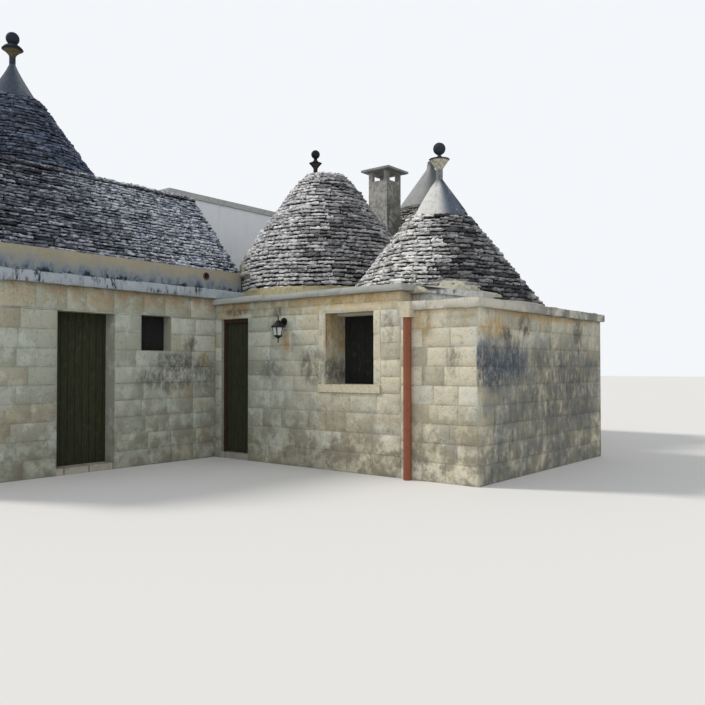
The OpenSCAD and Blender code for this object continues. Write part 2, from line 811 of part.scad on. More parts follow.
module bell_pinnacle() {
    color("darkslategray") placed() pinnacle([bell_x - bell_pinnacle_off,
        bell_y - bell_pinnacle_off, bell_top], [bell_neck_r, bell_neck_h], [bell_bowl_r, bell_bowl_h],
        1.2, bell_shoulder_h, bell_stem_r, 3, bell_ball_r);
}

module corner_cone() {
    color("dimgray") placed() difference() {
        cone_shell(corner_pos, corner_r, corner_h, corner_stone_h, corner_t);
        block([corner_x - 2 * corner_r, -2 * court_cornice_out, slab_top - cut],
            [raised_w + court_cornice_out + built_gap, parapet_t + built_gap, court_top]);
        sloped(-2 * court_cornice_out, parapet_t + coping_w + built_gap, slab_top - cut,
            court_top + built_gap, slab_top - cut, slab_top + coping_low + built_gap, built_gap);
    }
}

module corner_cone_cap() {
    color("lightgray") placed() smooth_cap(corner_pos + [0, 0, corner_stone_h],
        corner_cap_r, corner_neck_r, corner_cap_h, corner_cap_curve);
}

module corner_pinnacle() {
    color("ivory") placed() pinnacle(corner_pos + [0, 0, corner_stone_h + corner_cap_h],
        [corner_neck_r, corner_neck_h], [corner_bowl_r, corner_bowl_h], 1.1, corner_shoulder_h,
        corner_stem_r, 2.5, corner_ball_r);
}

module chimney_shaft() {
    half = chimney_w / 2;
    color("gainsboro") placed() translate([chimney_x, chimney_y, 0]) difference() {
        block([-half, -half, chimney_foot], [half, half, chimney_top]);
        block([-flue_w / 2, -flue_w / 2, chimney_top - flue_depth],
            [flue_w / 2, flue_w / 2, chimney_top + cut]);
    }
}

// A low pyramid with a square foot, made where two ridged blocks cross
module low_pyramid(w, rise) {
    intersection_for(turn = [0, 90]) rotate([90, 0, turn])
        linear_extrude(w, center = true) polygon([[-w / 2, 0], [w / 2, 0], [0, rise]]);
}

module chimney_cap() {
    post = chimney_w / 2 - chimney_post_w;
    color("lightgray") placed() translate([chimney_x, chimney_y, chimney_top]) {
        for (sx = [-1, 1], sy = [-1, 1])
            translate([sx * (post + chimney_post_w / 2), sy * (post + chimney_post_w / 2), 0])
                translate([-chimney_post_w / 2, -chimney_post_w / 2, 0])
                cube([chimney_post_w, chimney_post_w, chimney_post_h]);
        translate([-chimney_cap_w / 2, -chimney_cap_w / 2, chimney_post_h])
            cube([chimney_cap_w, chimney_cap_w, chimney_cap_t]);
        translate([0, 0, chimney_post_h + chimney_cap_t]) low_pyramid(chimney_cap_w, chimney_cap_rise);
    }
}

module rear_walls() {
    color("cornsilk") placed() {
        block([rear_x0, rear_y0, 0], [rear_x0 + rear_wall_t, rear_y1, rear_wall_h]);
        block([rear_x0 + rear_wall_t, rear_y1 - rear_wall_t, 0],
            [rear_x1 - rear_wall_t, rear_y1, rear_wall_h]);
        block([rear_x1 - rear_wall_t, rear_y0, 0], [rear_x1, rear_y1, rear_wall_h]);
    }
}

module rear_roof_slab() {
    out = rear_out;
    color("silver") placed() difference() {
        block([rear_x0 - out, rear_y0 - rear_lap, rear_wall_h], [rear_x1 + out, rear_y1 + out, rear_top]);
        round_block(rear_x, rear_pos.y, rear_wall_h - cut, rear_top + cut, rear_r - rear_t);
        round_block(bell_x, bell_y, court_top - cut, rear_top + cut, bell_r + built_gap);
        chimney_space();
    }
}

module rear_cone() {
    color("dimgray") placed() difference() {
        translate(rear_pos) rotate_extrude() polygon([[rear_r - rear_t, 0], [rear_r, 0],
            [rear_bend_r, rear_bend_h], [rear_tip_r, rear_h], [rear_tip_r * 0.7, rear_h + rear_tip_h],
            [0, rear_h + rear_tip_h], [0, rear_stone_h - rear_t], [rear_bend_r - rear_t, rear_bend_h]]);
        chimney_space();
    }
}

module white_side_walls() {
    door_y1 = white_inner_off + inner_door_w;
    color("white") placed() difference() {
        union() {
            block([white_x0, white_y0, 0], [white_x0 + white_t, white_y1, white_wall_h]);
            block([white_x1 - white_t, white_y0, 0], [white_x1, white_y1, white_wall_h]);
        }
        block([white_x1 - white_t - cut, white_inner_off, -cut], [white_x1 + cut, door_y1, inner_door_h]);
    }
}

module white_end_walls() {
    color("white") placed() for (y = [white_y0, white_y1 - white_t])
        block([white_x0 + white_t, y, 0], [white_x1 - white_t, y + white_t, white_wall_h]);
}

module white_roof() {
    w = white_coping_w;
    rim = white_coping_w - white_t;
    color("whitesmoke") placed() difference() {
        union() {
            block([white_x0, white_y0, white_wall_h], [white_x1, white_y1, white_top]);
            block([white_x0 - rim, white_y0 - rim, white_top],
                [white_x1 + rim, white_y1 + rim, white_top + white_coping_t]);
        }
        block([white_x0 - rim + w, white_y0 - rim + w, white_top],
            [white_x1 + rim - w, white_y1 + rim - w, white_top + white_coping_t + cut]);
    }
}

module ground_floor() {
    inner_x1 = -main_wall_t - main_inner_off;
    color("tan") placed() {
        block([-main_wall_t, main_door_y0, 0], [0, main_door_y1, floor_h]);
        block([court_door_off, 0, 0], [court_door_x1, court_front_t, floor_h]);
        block([main_x0 + main_wall_t, main_y0 + main_wall_t, 0], [-main_wall_t, 0, floor_h]);
        block([inner_x1 - inner_door_w, 0, 0], [inner_x1, main_y1, floor_h]);
        block([court_x0, main_y1, 0], [court_w - court_side_t, court_room_y1, floor_h]);
        block([0, court_front_t, 0], [court_w - court_side_t, main_y1, floor_h]);
        block([rear_inner_off, court_room_y1, 0], [rear_inner_off + inner_door_w, court_d, floor_h]);
        block([rear_x0 + rear_wall_t, rear_y0, 0],
            [rear_x1 - rear_wall_t, rear_y1 - rear_wall_t, floor_h]);
        block([white_x1 - white_t, white_inner_off, 0], [court_x0, white_inner_off + inner_door_w,
            floor_h]);
        block([white_x0 + white_t, white_y0 + white_t, 0],
            [white_x1 - white_t, white_y1 - white_t, floor_h]);
    }
}

main_wall_south();
main_wall_over_door();
main_wall_north();
main_side_walls();
main_inner_wall();
main_cornice();
main_roof_deck();
clay_vent();
gable_roof();
main_cone();
main_cone_cap();
main_pinnacle();
main_door();
window_shutters();
court_wall_corner();
court_lintel();
court_window_wall();
court_side_wall();
court_inner_wall();
lower_roof_slab();
upper_roof_slab();
court_cornice();
sloping_coping();
court_door();
court_door_frame();
door_pins();
window_surround();
window_sill();
lantern();
drainpipe();
rain_box();
bell_dome();
bell_pinnacle();
corner_cone();
corner_cone_cap();
corner_pinnacle();
chimney_shaft();
chimney_cap();
rear_walls();
rear_roof_slab();
rear_cone();
white_side_walls();
white_end_walls();
white_roof();
ground_floor();
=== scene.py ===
"""Looks of a trullo house: dry-stone cones, a bell dome, lime-washed tufa walls and a court door.

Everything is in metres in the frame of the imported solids. Plan places are counted from the inner
corner, where the main block's door face meets the court face: x runs right along the court face,
y runs to the back and z runs up. Stones are shapes of two parameters, worked out as whole arrays.
"""

import bpy
import numpy as np
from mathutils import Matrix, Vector


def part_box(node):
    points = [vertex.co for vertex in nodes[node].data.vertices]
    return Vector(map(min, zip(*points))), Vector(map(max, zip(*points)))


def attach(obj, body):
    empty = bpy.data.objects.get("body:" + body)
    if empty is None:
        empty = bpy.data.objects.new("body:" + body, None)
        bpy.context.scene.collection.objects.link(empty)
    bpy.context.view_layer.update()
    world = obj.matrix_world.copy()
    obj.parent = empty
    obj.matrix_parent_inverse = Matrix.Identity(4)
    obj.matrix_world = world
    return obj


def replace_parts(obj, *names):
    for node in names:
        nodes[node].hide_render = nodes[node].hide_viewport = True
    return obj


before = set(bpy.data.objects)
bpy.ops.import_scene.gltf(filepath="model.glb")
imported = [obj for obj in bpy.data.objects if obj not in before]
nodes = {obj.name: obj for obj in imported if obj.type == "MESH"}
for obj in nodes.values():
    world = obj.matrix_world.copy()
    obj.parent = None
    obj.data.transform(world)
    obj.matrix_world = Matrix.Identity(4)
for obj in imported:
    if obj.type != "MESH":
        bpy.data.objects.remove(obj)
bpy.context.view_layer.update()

UP = np.array([0.0, 0.0, 1.0])
EAST = np.array([1.0, 0.0, 0.0])
NORTH = np.array([0.0, 1.0, 0.0])


def low(node):
    """Lowest corner of a solid as an array."""
    return np.array(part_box(node)[0])


def high(node):
    """Highest corner of a solid as an array."""
    return np.array(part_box(node)[1])


def middle(node):
    """Middle of a solid seen from above."""
    return ((low(node) + high(node)) / 2.0)[:2]


def half_width(node):
    """Half of a solid's width, which is the radius of a round one."""
    return (high(node) - low(node))[0] / 2.0


# The inner corner of the two faces, on the ground
CORNER = np.array([low("court_cornice")[0], low("court_window_wall")[1], 0.0])


def place(a, b, z=0.0):
    """A point counted from the inner corner, in the frame of the solids."""
    return CORNER + np.array([a, b, z])


def put(data, name):
    """A new object in the scene with the given data."""
    made = bpy.data.objects.new(name, data)
    bpy.context.scene.collection.objects.link(made)
    return made


# Camera, from the vanishing points of the photograph
EYE = place(10.17, -8.65, 1.60)
LOOK_AZIMUTH = np.radians(39.0)
LOOK_UP = np.radians(1.13)
LENS_MM = 37.43
SENSOR_MM = 36.0
FAR_CLIP = 300.0


def place_camera():
    """The camera stands at a person's eye height in front of the court."""
    data = bpy.data.cameras.new("camera")
    data.lens = LENS_MM
    data.sensor_width = SENSOR_MM
    data.clip_end = FAR_CLIP
    camera = put(data, "camera")
    level = np.cos(LOOK_UP)
    ahead = Vector((-np.sin(LOOK_AZIMUTH) * level, np.cos(LOOK_AZIMUTH) * level, np.sin(LOOK_UP)))
    camera.location = Vector(EYE)
    camera.rotation_euler = ahead.to_track_quat("-Z", "Y").to_euler()
    bpy.context.scene.camera = camera


# Node trees of the finishes


def dimmed(tint, by):
    """A colour with every part multiplied by a factor."""
    return tuple(by * part for part in tint)


class Finish:
    """One finish: a shader, the colour that its layers build up, and calls that add a pattern."""

    def __init__(self, name, roughness, specular, *cloud):
        self.material = bpy.data.materials.new(name)
        self.material.use_nodes = True
        self.tree = self.material.node_tree
        self.shader = self.tree.nodes["Principled BSDF"]
        self.shader.inputs["Roughness"].default_value = roughness
        self.shader.inputs["Specular IOR Level"].default_value = specular
        self.coords = self.node("TexCoord", "Object")
        self.tone = self.cloud(*cloud) if cloud else None

    def link(self, source, target):
        """Join a socket to another, or set a plain value on it."""
        if isinstance(source, bpy.types.NodeSocket):
            self.tree.links.new(source, target)
        else:
            target.default_value = (*source, 1.0) if target.type == "RGBA" else source

    def node(self, kind, output, inputs=None, **settings):
        """One output of a new node, after its settings are made and its inputs joined or set."""
        node = self.tree.nodes.new("ShaderNode" + kind)
        for label, value in settings.items():
            setattr(node, label, value)
        for label, source in (inputs or {}).items():
            self.link(source, node.inputs[label])
        return node.outputs[output]

    def vector(self, kind, first, second=(0.0, 0.0, 0.0)):
        """A vector sum, product, direction or length."""
        output = "Value" if kind in ("LENGTH", "DOT_PRODUCT") else "Vector"
        return self.node("VectorMath", output, {0: first, 1: tuple(map(float, second))}, operation=kind)

    def maths(self, kind, first, second):
        """A sum, product or other operation on a pair of values."""
        return self.node("Math", "Value", {0: first, 1: second}, operation=kind)

    def times(self, *shares):
        """The product of shares."""
        total = shares[0]
        for share in shares[1:]:
            total = self.maths("MULTIPLY", total, share)
        return total

    def mix(self, share, first, second):
        """Two colours mixed by a share."""
        return self.node("Mix", "Result", {"Factor": share, "A": first, "B": second}, data_type="RGBA")

    def between(self, value, start, end, low_value=0.0, high_value=1.0):
        """A value carried smoothly from start..end to low..high, and held there past the ends."""
        inputs = {"Value": value, "From Min": start, "From Max": end, "To Min": low_value,
                  "To Max": high_value}
        return self.node("MapRange", "Result", inputs, interpolation_type="SMOOTHSTEP")

    def axis(self, letter):
        """One object coordinate."""
        return self.node("SeparateXYZ", letter, {"Vector": self.coords})

    def rise(self, letter, start, end, low_value=0.0, high_value=1.0):
        """A value that goes from low to high between two places along an axis, counted from the
        inner corner."""
        shift = CORNER["XYZ".index(letter)]
        return self.between(self.axis(letter), shift + start, shift + end, low_value, high_value)

    def attribute(self, name):
        """A number kept at each point of the piece."""
        return self.node("Attribute", "Fac", attribute_name=name)

    def noise(self, size, detail=4.0, rough=0.55, scale=None):
        """Cloudy noise whose lumps are about size metres across."""
        spot = self.vector("MULTIPLY", self.coords, scale) if scale else self.coords
        inputs = {"Vector": spot, "Scale": 1.0 / size, "Detail": detail, "Roughness": rough}
        return self.node("TexNoise", "Fac", inputs)

    def cloud(self, size, first, second, detail=5.0, rough=0.6):
        """Two colours in soft clouds."""
        return self.mix(self.noise(size, detail, rough), first, second)

    def patches(self, size, start, end, share=1.0, detail=5.0, rough=0.65, scale=None):
        """Patches of noise with soft edges, as a share."""
        return self.between(self.noise(size, detail, rough, scale), start, end, 0.0, share)

    def near(self, spot, reach):
        """A share that is 1 around a place from the inner corner and 0 beyond the reach on each axis."""
        away = self.vector("SUBTRACT", self.coords, place(*spot))
        away = self.vector("MULTIPLY", away, [1.0 / length for length in reach])
        return self.between(self.vector("LENGTH", away), 0.4, 1.0, 1.0, 0.0)

    def side(self, axis, toward, start, end):
        """A share that rises on the side of an upright axis that looks a given way."""
        away = self.vector("SUBTRACT", self.coords, (axis[0], axis[1], 0.0))
        away = self.vector("NORMALIZE", self.vector("MULTIPLY", away, (1.0, 1.0, 0.0)))
        return self.between(self.vector("DOT_PRODUCT", away, toward), start, end)

    def over(self, share, tint):
        """Lay a colour over what is there, by a share."""
        self.tone = self.mix(share, self.tone, tint)

    def spots(self, tint, *patches, where=()):
        """Lay patches of a colour over what is there, by the product of their share and others."""
        self.over(self.times(self.patches(*patches), *where), tint)

    def done(self, *bumps):
        """Set the colour and the bumps. A bump is a noise or a pattern, and its depth in metres."""
        self.link(self.tone, self.shader.inputs["Base Color"])
        under = {}
        for *pattern, depth in bumps:
            height = self.noise(*pattern) if len(pattern) > 1 else pattern[0]
            under = {"Normal": self.node("Bump", "Normal", {"Distance": depth, "Strength": 1.0,
                                                            "Height": height, **under})}
        for label, normal in under.items():
            self.link(normal, self.shader.inputs[label])
        return self.material


# Stretches of a pattern along each axis: along roof courses, and down a wall
LEVEL = (0.40, 0.40, 1.0)
DRIPS = (1.0, 1.0, 0.30)
# Colours of roof flags: two tones and a stain
ROOF_FLAGS = ((0.40, 0.385, 0.33), (0.31, 0.30, 0.26), (0.15, 0.15, 0.14))
# Bumps of worn stone and of lime render: size, detail, roughness and depth of a coarse and a fine one
STONE_GRAIN = ((0.03, 6.0, 0.65, 0.004), (0.006, 3.0, 0.6, 0.001))
RENDER_GRAIN = ((0.10, 6.0, 0.6, 0.006), (0.008, 4.0, 0.7, 0.0015))
# Stains, with some painted light and shade among them: a colour, the size of its ragged edge, and its
# spots from the inner corner, each with its reach along each axis and its share
STAINS_AND_PAINTED_LIGHT = [
    # painted light: a pale band on the wall under the corner cornice, where the cornice's shade falls
    ((0.88, 0.77, 0.56), 0.35, [((4.75, 0.0, 2.40), (0.75, 0.3, 0.14), 0.9)]),
    ((0.47, 0.325, 0.145), 0.10, [
        ((3.2, 0.0, 2.68), (1.3, 0.8, 0.20), 0.9), ((4.45, 0.0, 2.25), (0.25, 0.3, 0.40), 0.6),
        ((5.32, 0.46, 2.14), (0.04, 0.60, 0.21), 1.0), ((5.32, 2.2, 2.38), (0.04, 2.4, 0.10), 0.9)]),
    ((0.34, 0.22, 0.08), 0.12, [
        ((2.61, 0.25, 2.2), (0.05, 0.5, 0.7), 0.8), ((1.78, 0.0, 2.02), (0.14, 0.3, 0.22), 0.9),
        ((0.5, 0.0, 2.60), (0.5, 0.3, 0.20), 0.8), ((5.32, 0.9, 1.98), (0.04, 0.30, 0.14), 0.9),
        ((0.0, -0.25, 1.72), (0.3, 0.16, 0.2), 0.7)]),
    ((0.100, 0.100, 0.090), 0.11, [
        ((0.0, -0.86, 1.66), (0.3, 0.65, 0.26), 0.9), ((0.0, -1.0, 1.40), (0.3, 0.9, 0.30), 0.75),
        ((0.0, -0.52, 1.98), (0.3, 0.22, 0.16), 0.8), ((0.0, -0.3, 1.50), (0.3, 0.40, 0.40), 0.75),
        ((0.6, 0.0, 2.56), (0.45, 0.2, 0.10), 0.8), ((1.6, 0.0, 2.50), (0.22, 0.2, 0.12), 0.8),
        # the spot at 1.50 along and 2.20 up is a painted shadow of the lantern beside it
        ((1.50, 0.0, 2.20), (0.10, 0.2, 0.2), 0.7), ((1.44, 0.0, 1.55), (0.35, 0.2, 0.25), 0.65),
        ((2.35, 0.0, 1.62), (0.38, 0.2, 0.45), 0.75), ((2.62, 0.25, 1.55), (0.05, 0.5, 0.30), 0.9),
        ((3.83, 0.0, 2.20), (0.16, 0.2, 0.32), 0.6), ((4.95, 0.0, 1.68), (0.16, 0.2, 0.3), 0.7),
        ((5.32, 0.80, 2.06), (0.04, 0.24, 0.16), 0.9), ((5.32, 1.40, 2.20), (0.04, 0.34, 0.24), 1.0),
        ((5.32, 3.4, 2.1), (0.04, 0.3, 0.5), 0.9), ((5.32, 2.6, 1.3), (0.04, 2.4, 1.0), 0.7)]),
    ((0.120, 0.145, 0.175), 0.12, [
        ((5.32, 0.35, 1.72), (0.04, 0.85, 0.44), 1.0), ((5.32, 1.00, 1.76), (0.04, 0.75, 0.40), 0.9)]),
    ((0.050, 0.065, 0.090), 0.055, [
        ((5.32, 0.35, 1.58), (0.04, 0.75, 0.44), 0.9), ((5.32, 0.95, 1.66), (0.04, 0.60, 0.38), 0.8)]),
]


def slate_finish(name, deep, pale, crust, crust_share, growth_share):
    """Roof slates: each stone has its own grey, pale crusts and black growth, with dark growth and painted
    shade on the side away from the sun, and painted shade in its hollows.
    """
    made = Finish(name, 0.95, 0.12)
    made.tone = made.mix(made.attribute("tone"), deep, pale)
    made.spots(crust, 0.045, 0.45, 0.56, crust_share, 6.0, 0.72, LEVEL)
    made.spots((0.030, 0.030, 0.034), 0.035, 0.52, 0.60, growth_share, 5.0, 0.72, LEVEL)
    # dark growth, with painted shade on the side of a cone away from the sun
    made.over(made.attribute("dark"), (0.03, 0.032, 0.04))
    # painted shade: the recesses and joints of each slate darkened toward black
    made.over(made.attribute("deep"), (0.010, 0.010, 0.011))
    return made.done((0.03, 8.0, 0.7, 0.010), (0.006, 3.0, 0.6, 0.002))


def tufa_finish(name, blocks=True, dark=0.0):
    """Lime-washed tufa: grey-green wash that turns cream to the right, ochre under the copings, dark
    specks, and black streaks on the face at the far right. Each block has a tone of its own."""
    made = Finish(name, 0.93, 0.12)
    right = made.rise("X", 0.7, 3.6)
    made.tone = made.mix(right, made.cloud(0.5, (0.30, 0.325, 0.275), (0.44, 0.46, 0.38), 4.0),
                         made.cloud(0.4, (0.52, 0.475, 0.345), (0.72, 0.67, 0.525), 4.0))
    if blocks:
        tone = made.attribute("tone")
        made.over(made.between(tone, 0.5, 0.0, 0.0, 0.45), (0.20, 0.19, 0.15))
        made.over(made.between(tone, 0.5, 1.0, 0.0, 0.45), (0.70, 0.69, 0.60))
        made.over(made.between(made.attribute("tint"), 0.72, 1.0, 0.0, 0.6), (0.42, 0.36, 0.24))
    else:
        made.over(dark, (0.24, 0.22, 0.17))
    made.spots((0.56, 0.60, 0.55), 0.30, 0.50, 0.60, 0.45)
    made.spots((0.24, 0.215, 0.15), 0.07, 0.54, 0.66, 0.45, 6.0, 0.72)
    ochre = made.mix(right, (0.34, 0.25, 0.11), (0.62, 0.475, 0.25))
    under_coping = (made.rise("Z", 2.36, 2.62), made.rise("X", 0.2, 2.6, 0.35, 0.95))
    made.spots(ochre, 0.16, 0.38, 0.60, 0.95, 7.0, 0.75, where=under_coping)
    under_main = (made.rise("Z", 2.42, 2.80), made.rise("X", 0.06, 0.02))
    made.spots((0.34, 0.24, 0.14), 0.2, 0.42, 0.6, 0.8, where=under_main)
    made.spots((0.22, 0.20, 0.15), 0.25, 0.38, 0.58, 0.8, where=[made.rise("Z", 1.65, 0.2)])
    far_right = (made.rise("X", 5.25, 5.31), made.rise("Y", 0.0, 0.2))
    damp = made.rise("Z", 2.35, 1.65, 0.40, 1.0)
    made.spots((0.15, 0.16, 0.155), 0.6, 0.30, 0.64, 0.85, 8.0, 0.72, where=(*far_right, damp))
    made.spots((0.085, 0.085, 0.08), 0.05, 0.52, 0.68, 0.55, 6.0, 0.7, (1.0, 1.0, 0.25), where=far_right)
    # stains, and the painted light and shade that the table holds
    for tint, size, spots in STAINS_AND_PAINTED_LIGHT:
        where = 0.0
        for spot, reach, share in spots:
            where = made.maths("MAXIMUM", where, made.times(made.near(spot, reach), share))
        made.spots(tint, size, 0.36, 0.60, 1.0, 8.0, 0.78, (1.0, 1.0, 0.6), where=[where])
    made.spots((0.17, 0.17, 0.14), 0.10, 0.54, 0.70, 0.30, 7.0, 0.72, DRIPS)
    made.spots((0.055, 0.050, 0.038), 0.022, 0.59, 0.66, 0.75, 5.0, 0.75)
    return made.done((0.12, 6.0, 0.65, 0.010), (0.012, 5.0, 0.7, 0.003))


def paving(made, pale, deep, stain):
    """Colour of stone flags with dark joints and worn patches."""
    flags = made.mix(made.patches(0.30, 0.46, 0.66, 0.6, 8.0, 0.75), made.cloud(0.5, pale, deep), stain)
    joints = made.node("TexBrick", "Fac", {"Vector": made.coords, "Scale": 1.0, "Mortar Size": 0.012,
                                           "Mortar Smooth": 0.4, "Brick Width": 0.62, "Row Height": 0.41})
    return made.mix(joints, flags, dimmed(pale, 0.3))


def slab_finish(name, pale, deep, drip, drip_share, blue_share, top, back=None, marks=()):
    """Cornice slabs: two close tones, with black growth that drips from the upper edge and lies on
    marked places, and paving on the roof behind them."""
    made = Finish(name, 0.92, 0.15, 0.4, pale, deep)
    made.spots((0.30, 0.35, 0.38), 0.5, 0.48, 0.62, blue_share)
    made.spots(drip, 0.06, 0.50, 0.62, 1.0, 6.0, 0.7, DRIPS,
               where=[made.patches(0.8, 0.44, 0.60, drip_share)])
    made.spots(drip, 0.02, 0.62, 0.68, 0.6)
    if back is not None:
        made.spots((0.12, 0.125, 0.13), 0.3, 0.36, 0.56, 0.75, where=[made.rise("Y", *back)])
    for mark in marks:
        made.spots(drip, 0.13, 0.20, 0.34, 1.0, 6.0, 0.7, where=[made.near(*mark)])
    made.over(made.rise("Z", top, top + 0.002), paving(made, *ROOF_FLAGS))
    return made.done((0.08, 6.0, 0.7, 0.008), (0.01, 4.0, 0.7, 0.002))


def frieze_finish(foot, top):
    """The frieze: ochre above, blue-grey below, a black line at its foot, and paving on top of it."""
    made = Finish("frieze", 0.92, 0.12, 0.4, (0.29, 0.26, 0.19), (0.43, 0.385, 0.28))
    sway = made.between(made.noise(0.22, 7.0, 0.7), 0.3, 0.7, -0.09, 0.09)
    wave = made.maths("ADD", made.axis("Z"), sway)
    grey = made.cloud(0.3, (0.19, 0.235, 0.275), (0.34, 0.385, 0.41))
    made.over(made.between(wave, foot + 0.36, foot + 0.06), grey)
    made.spots((0.075, 0.095, 0.125), 0.07, 0.40, 0.60, 0.7, 6.0, 0.7, DRIPS,
               where=[made.between(wave, foot + 0.24, foot + 0.04)])
    made.spots((0.025, 0.032, 0.050), 0.09, 0.34, 0.50, 0.95,
               where=[made.between(wave, foot + 0.09, foot + 0.02)])
    made.spots((0.10, 0.085, 0.065), 0.03, 0.56, 0.66, 0.6, 7.0, 0.75)
    made.over(made.rise("Z", top - 0.012, top - 0.004), paving(made, *ROOF_FLAGS))
    return made.done((0.10, 6.0, 0.6, 0.008), (0.008, 4.0, 0.7, 0.0015))


def paving_finish(name, *tones):
    """Roof terraces and floors: stone flags with dark joints and worn patches."""
    made = Finish(name, 0.92, 0.12)
    made.tone = paving(made, *tones)
    return made.done(*RENDER_GRAIN)


def render_finish(name, pale, deep, stain, stain_share, size):
    """Lime mortar: two close tones, stains and faint rain streaks."""
    made = Finish(name, 0.92, 0.15, 0.5, pale, deep)
    made.spots(stain, size, 0.48, 0.60, stain_share, 7.0, 0.72)
    made.spots(stain, 0.10, 0.50, 0.64, 0.2, 5.0, 0.65, (1.0, 1.0, 0.14))
    return made.done(*RENDER_GRAIN)


def cap_finish(name, axis, pale, deep, dark, toward, start, end, tip_z, speckle):
    """Smooth roof caps: pale on the side of the sun, a painted tint on the other side, which is painted
    shade on the corner and rear caps and paler than the cap on the main one, and a dark tip.
    """
    made = Finish(name, 0.85, 0.2, 0.25, pale, deep)
    made.spots((0.20, 0.20, 0.20), 0.03, 0.55, 0.65, speckle)
    # a tint on the side away from the sun: painted shade where it is darker than the cap
    made.spots(dark, 0.30, 0.22, 0.42, 0.92, where=[made.side(axis, toward, start, end)])
    made.spots(dimmed(deep, 0.5), 0.05, 0.52, 0.66, 0.4, 5.0, 0.6, (1.0, 1.0, 0.10))
    made.over(made.rise("Z", tip_z - 0.18, tip_z, 0.0, 0.85), (0.04, 0.05, 0.07))
    return made.done((0.08, 6.0, 0.6, 0.004), (0.006, 4.0, 0.7, 0.0012))


def finial_finish(name, neck_height, bowl_height, bowl, neck, dark, ball):
    """Finials: a neck, a bowl that is pale below its dark rim, and a weathered ball."""
    made = Finish(name, 0.85, 0.2)
    neck_z = low(name)[2] + neck_height
    rim_z = neck_z + bowl_height
    made.tone = neck
    made.over(made.rise("Z", neck_z - 0.03, neck_z + 0.03), bowl)
    made.over(made.rise("Z", rim_z - 0.035, rim_z - 0.012), dark)
    made.over(made.rise("Z", rim_z + 0.09, rim_z + 0.14), ball)
    made.spots(dimmed(dark, 0.4), 0.04, 0.48, 0.60, 0.45)
    made.spots(dimmed(ball, 2.0), 0.02, 0.60, 0.68, 0.25)
    return made.done(*STONE_GRAIN)


def chimney_finish(foot_z, top_z):
    """The chimney: speckled lime render, black at its foot and down its shaded face."""
    made = Finish("chimney_render", 0.92, 0.12, 0.3, (0.50, 0.48, 0.44), (0.34, 0.33, 0.31))
    made.spots((0.15, 0.145, 0.125), 0.09, 0.44, 0.56, 0.60, 8.0, 0.80)
    made.spots((0.10, 0.10, 0.095), 0.2, 0.40, 0.62, 0.5, 7.0, 0.7,
               where=[made.rise("Z", foot_z + 1.9, foot_z + 1.0)])
    shaded = (made.rise("X", 1.045, 1.063), made.rise("Z", top_z - 0.1, foot_z + 1.5, 0.6, 1.0))
    made.spots((0.055, 0.058, 0.055), 0.20, 0.30, 0.56, 0.95, 8.0, 0.78, where=shaded)
    made.over(made.rise("Z", top_z - 0.15, top_z - 0.14, 0.0, 0.75), (0.22, 0.225, 0.24))
    return made.done((0.08, 6.0, 0.6, 0.005), (0.008, 4.0, 0.7, 0.0015))


def white_finish(top_z):
    """White lime wash with faint grey rain marks, under a grey stone coping."""
    made = Finish("white_wash", 0.9, 0.15, 0.7, (0.81, 0.828, 0.85), (0.74, 0.763, 0.79), 4.0)
    made.spots((0.5, 0.52, 0.54), 0.12, 0.54, 0.70, 0.25, 5.0, 0.6, (1.0, 1.0, 0.12))
    made.spots((0.42, 0.46, 0.47), 0.5, 0.40, 0.62, 0.45, where=[made.rise("Z", 4.6, 3.2)])
    grey = made.cloud(0.25, (0.38, 0.38, 0.375), (0.52, 0.52, 0.505))
    grey = made.mix(made.patches(0.05, 0.52, 0.62, 0.5), grey, (0.20, 0.20, 0.20))
    made.over(made.rise("Z", top_z - 0.01, top_z), grey)
    return made.done((0.15, 5.0, 0.6, 0.004), (0.01, 4.0, 0.7, 0.001))


def wood_finish(name, pale, deep, board, turned="X"):
    """Painted boards: upright grain, a dark joint between boards and worn paint."""
    made = Finish(name, 0.75, 0.25)
    grain = made.noise(0.012, 5.0, 0.6, (1.0, 1.0, 0.06))
    made.tone = made.mix(made.between(grain, 0.35, 0.68), pale, deep)
    made.spots(tuple(0.6 * part + 0.05 for part in pale), 0.09, 0.55, 0.70, 0.35)
    from_joint = made.maths("PINGPONG", made.axis(turned), board / 2.0)
    made.over(made.between(from_joint, 0.006, 0.0, 0.0, 0.85), dimmed(deep, 0.15))
    return made.done((grain, 0.0010), (made.between(from_joint, 0.0, 0.008), 0.006))


def clay_finish(name, pale, deep, scuff):
    """Fired clay with soot and lime marks."""
    made = Finish(name, 0.7, 0.3, 0.12, pale, deep)
    made.spots(scuff, 0.04, 0.54, 0.68, 0.5, 6.0, 0.7)
    made.spots((0.42, 0.34, 0.27), 0.015, 0.60, 0.68, 0.3)
    return made.done((0.01, 4.0, 0.6, 0.0008))


def iron_finish():
    """Black painted iron with a sheen and slight dust."""
    made = Finish("iron", 0.30, 0.3)
    made.tone = (0.004, 0.004, 0.005)
    made.spots((0.06, 0.06, 0.055), 0.03, 0.5, 0.7, 0.15)
    return made.done((0.004, 3.0, 0.5, 0.0004))


def glass_finish():
    """Dusty lantern glass."""
    made = Finish("lantern_glass", 0.18, 0.5, 0.03, (0.66, 0.68, 0.66), (0.84, 0.85, 0.82), 4.0, 0.55)
    made.shader.inputs["Transmission Weight"].default_value = 0.35
    made.shader.inputs["IOR"].default_value = 1.3
    return made.done()


def stone_finish(name, pale, deep, growth_tint, share):
    """Dressed stone: two tones and dark growth."""
    made = Finish(name, 0.9, 0.2, 0.12, pale, deep)
    made.spots(growth_tint, 0.05, 0.48, 0.64, share)
    made.spots(dimmed(deep, 0.25), 0.018, 0.60, 0.67, 0.6)
    return made.done(*STONE_GRAIN)


MAIN_AXIS = middle("main_cone")
BELL_AXIS = middle("bell_dome")
CORNER_AXIS = middle("corner_cone_cap")
REAR_AXIS = middle("rear_cone")
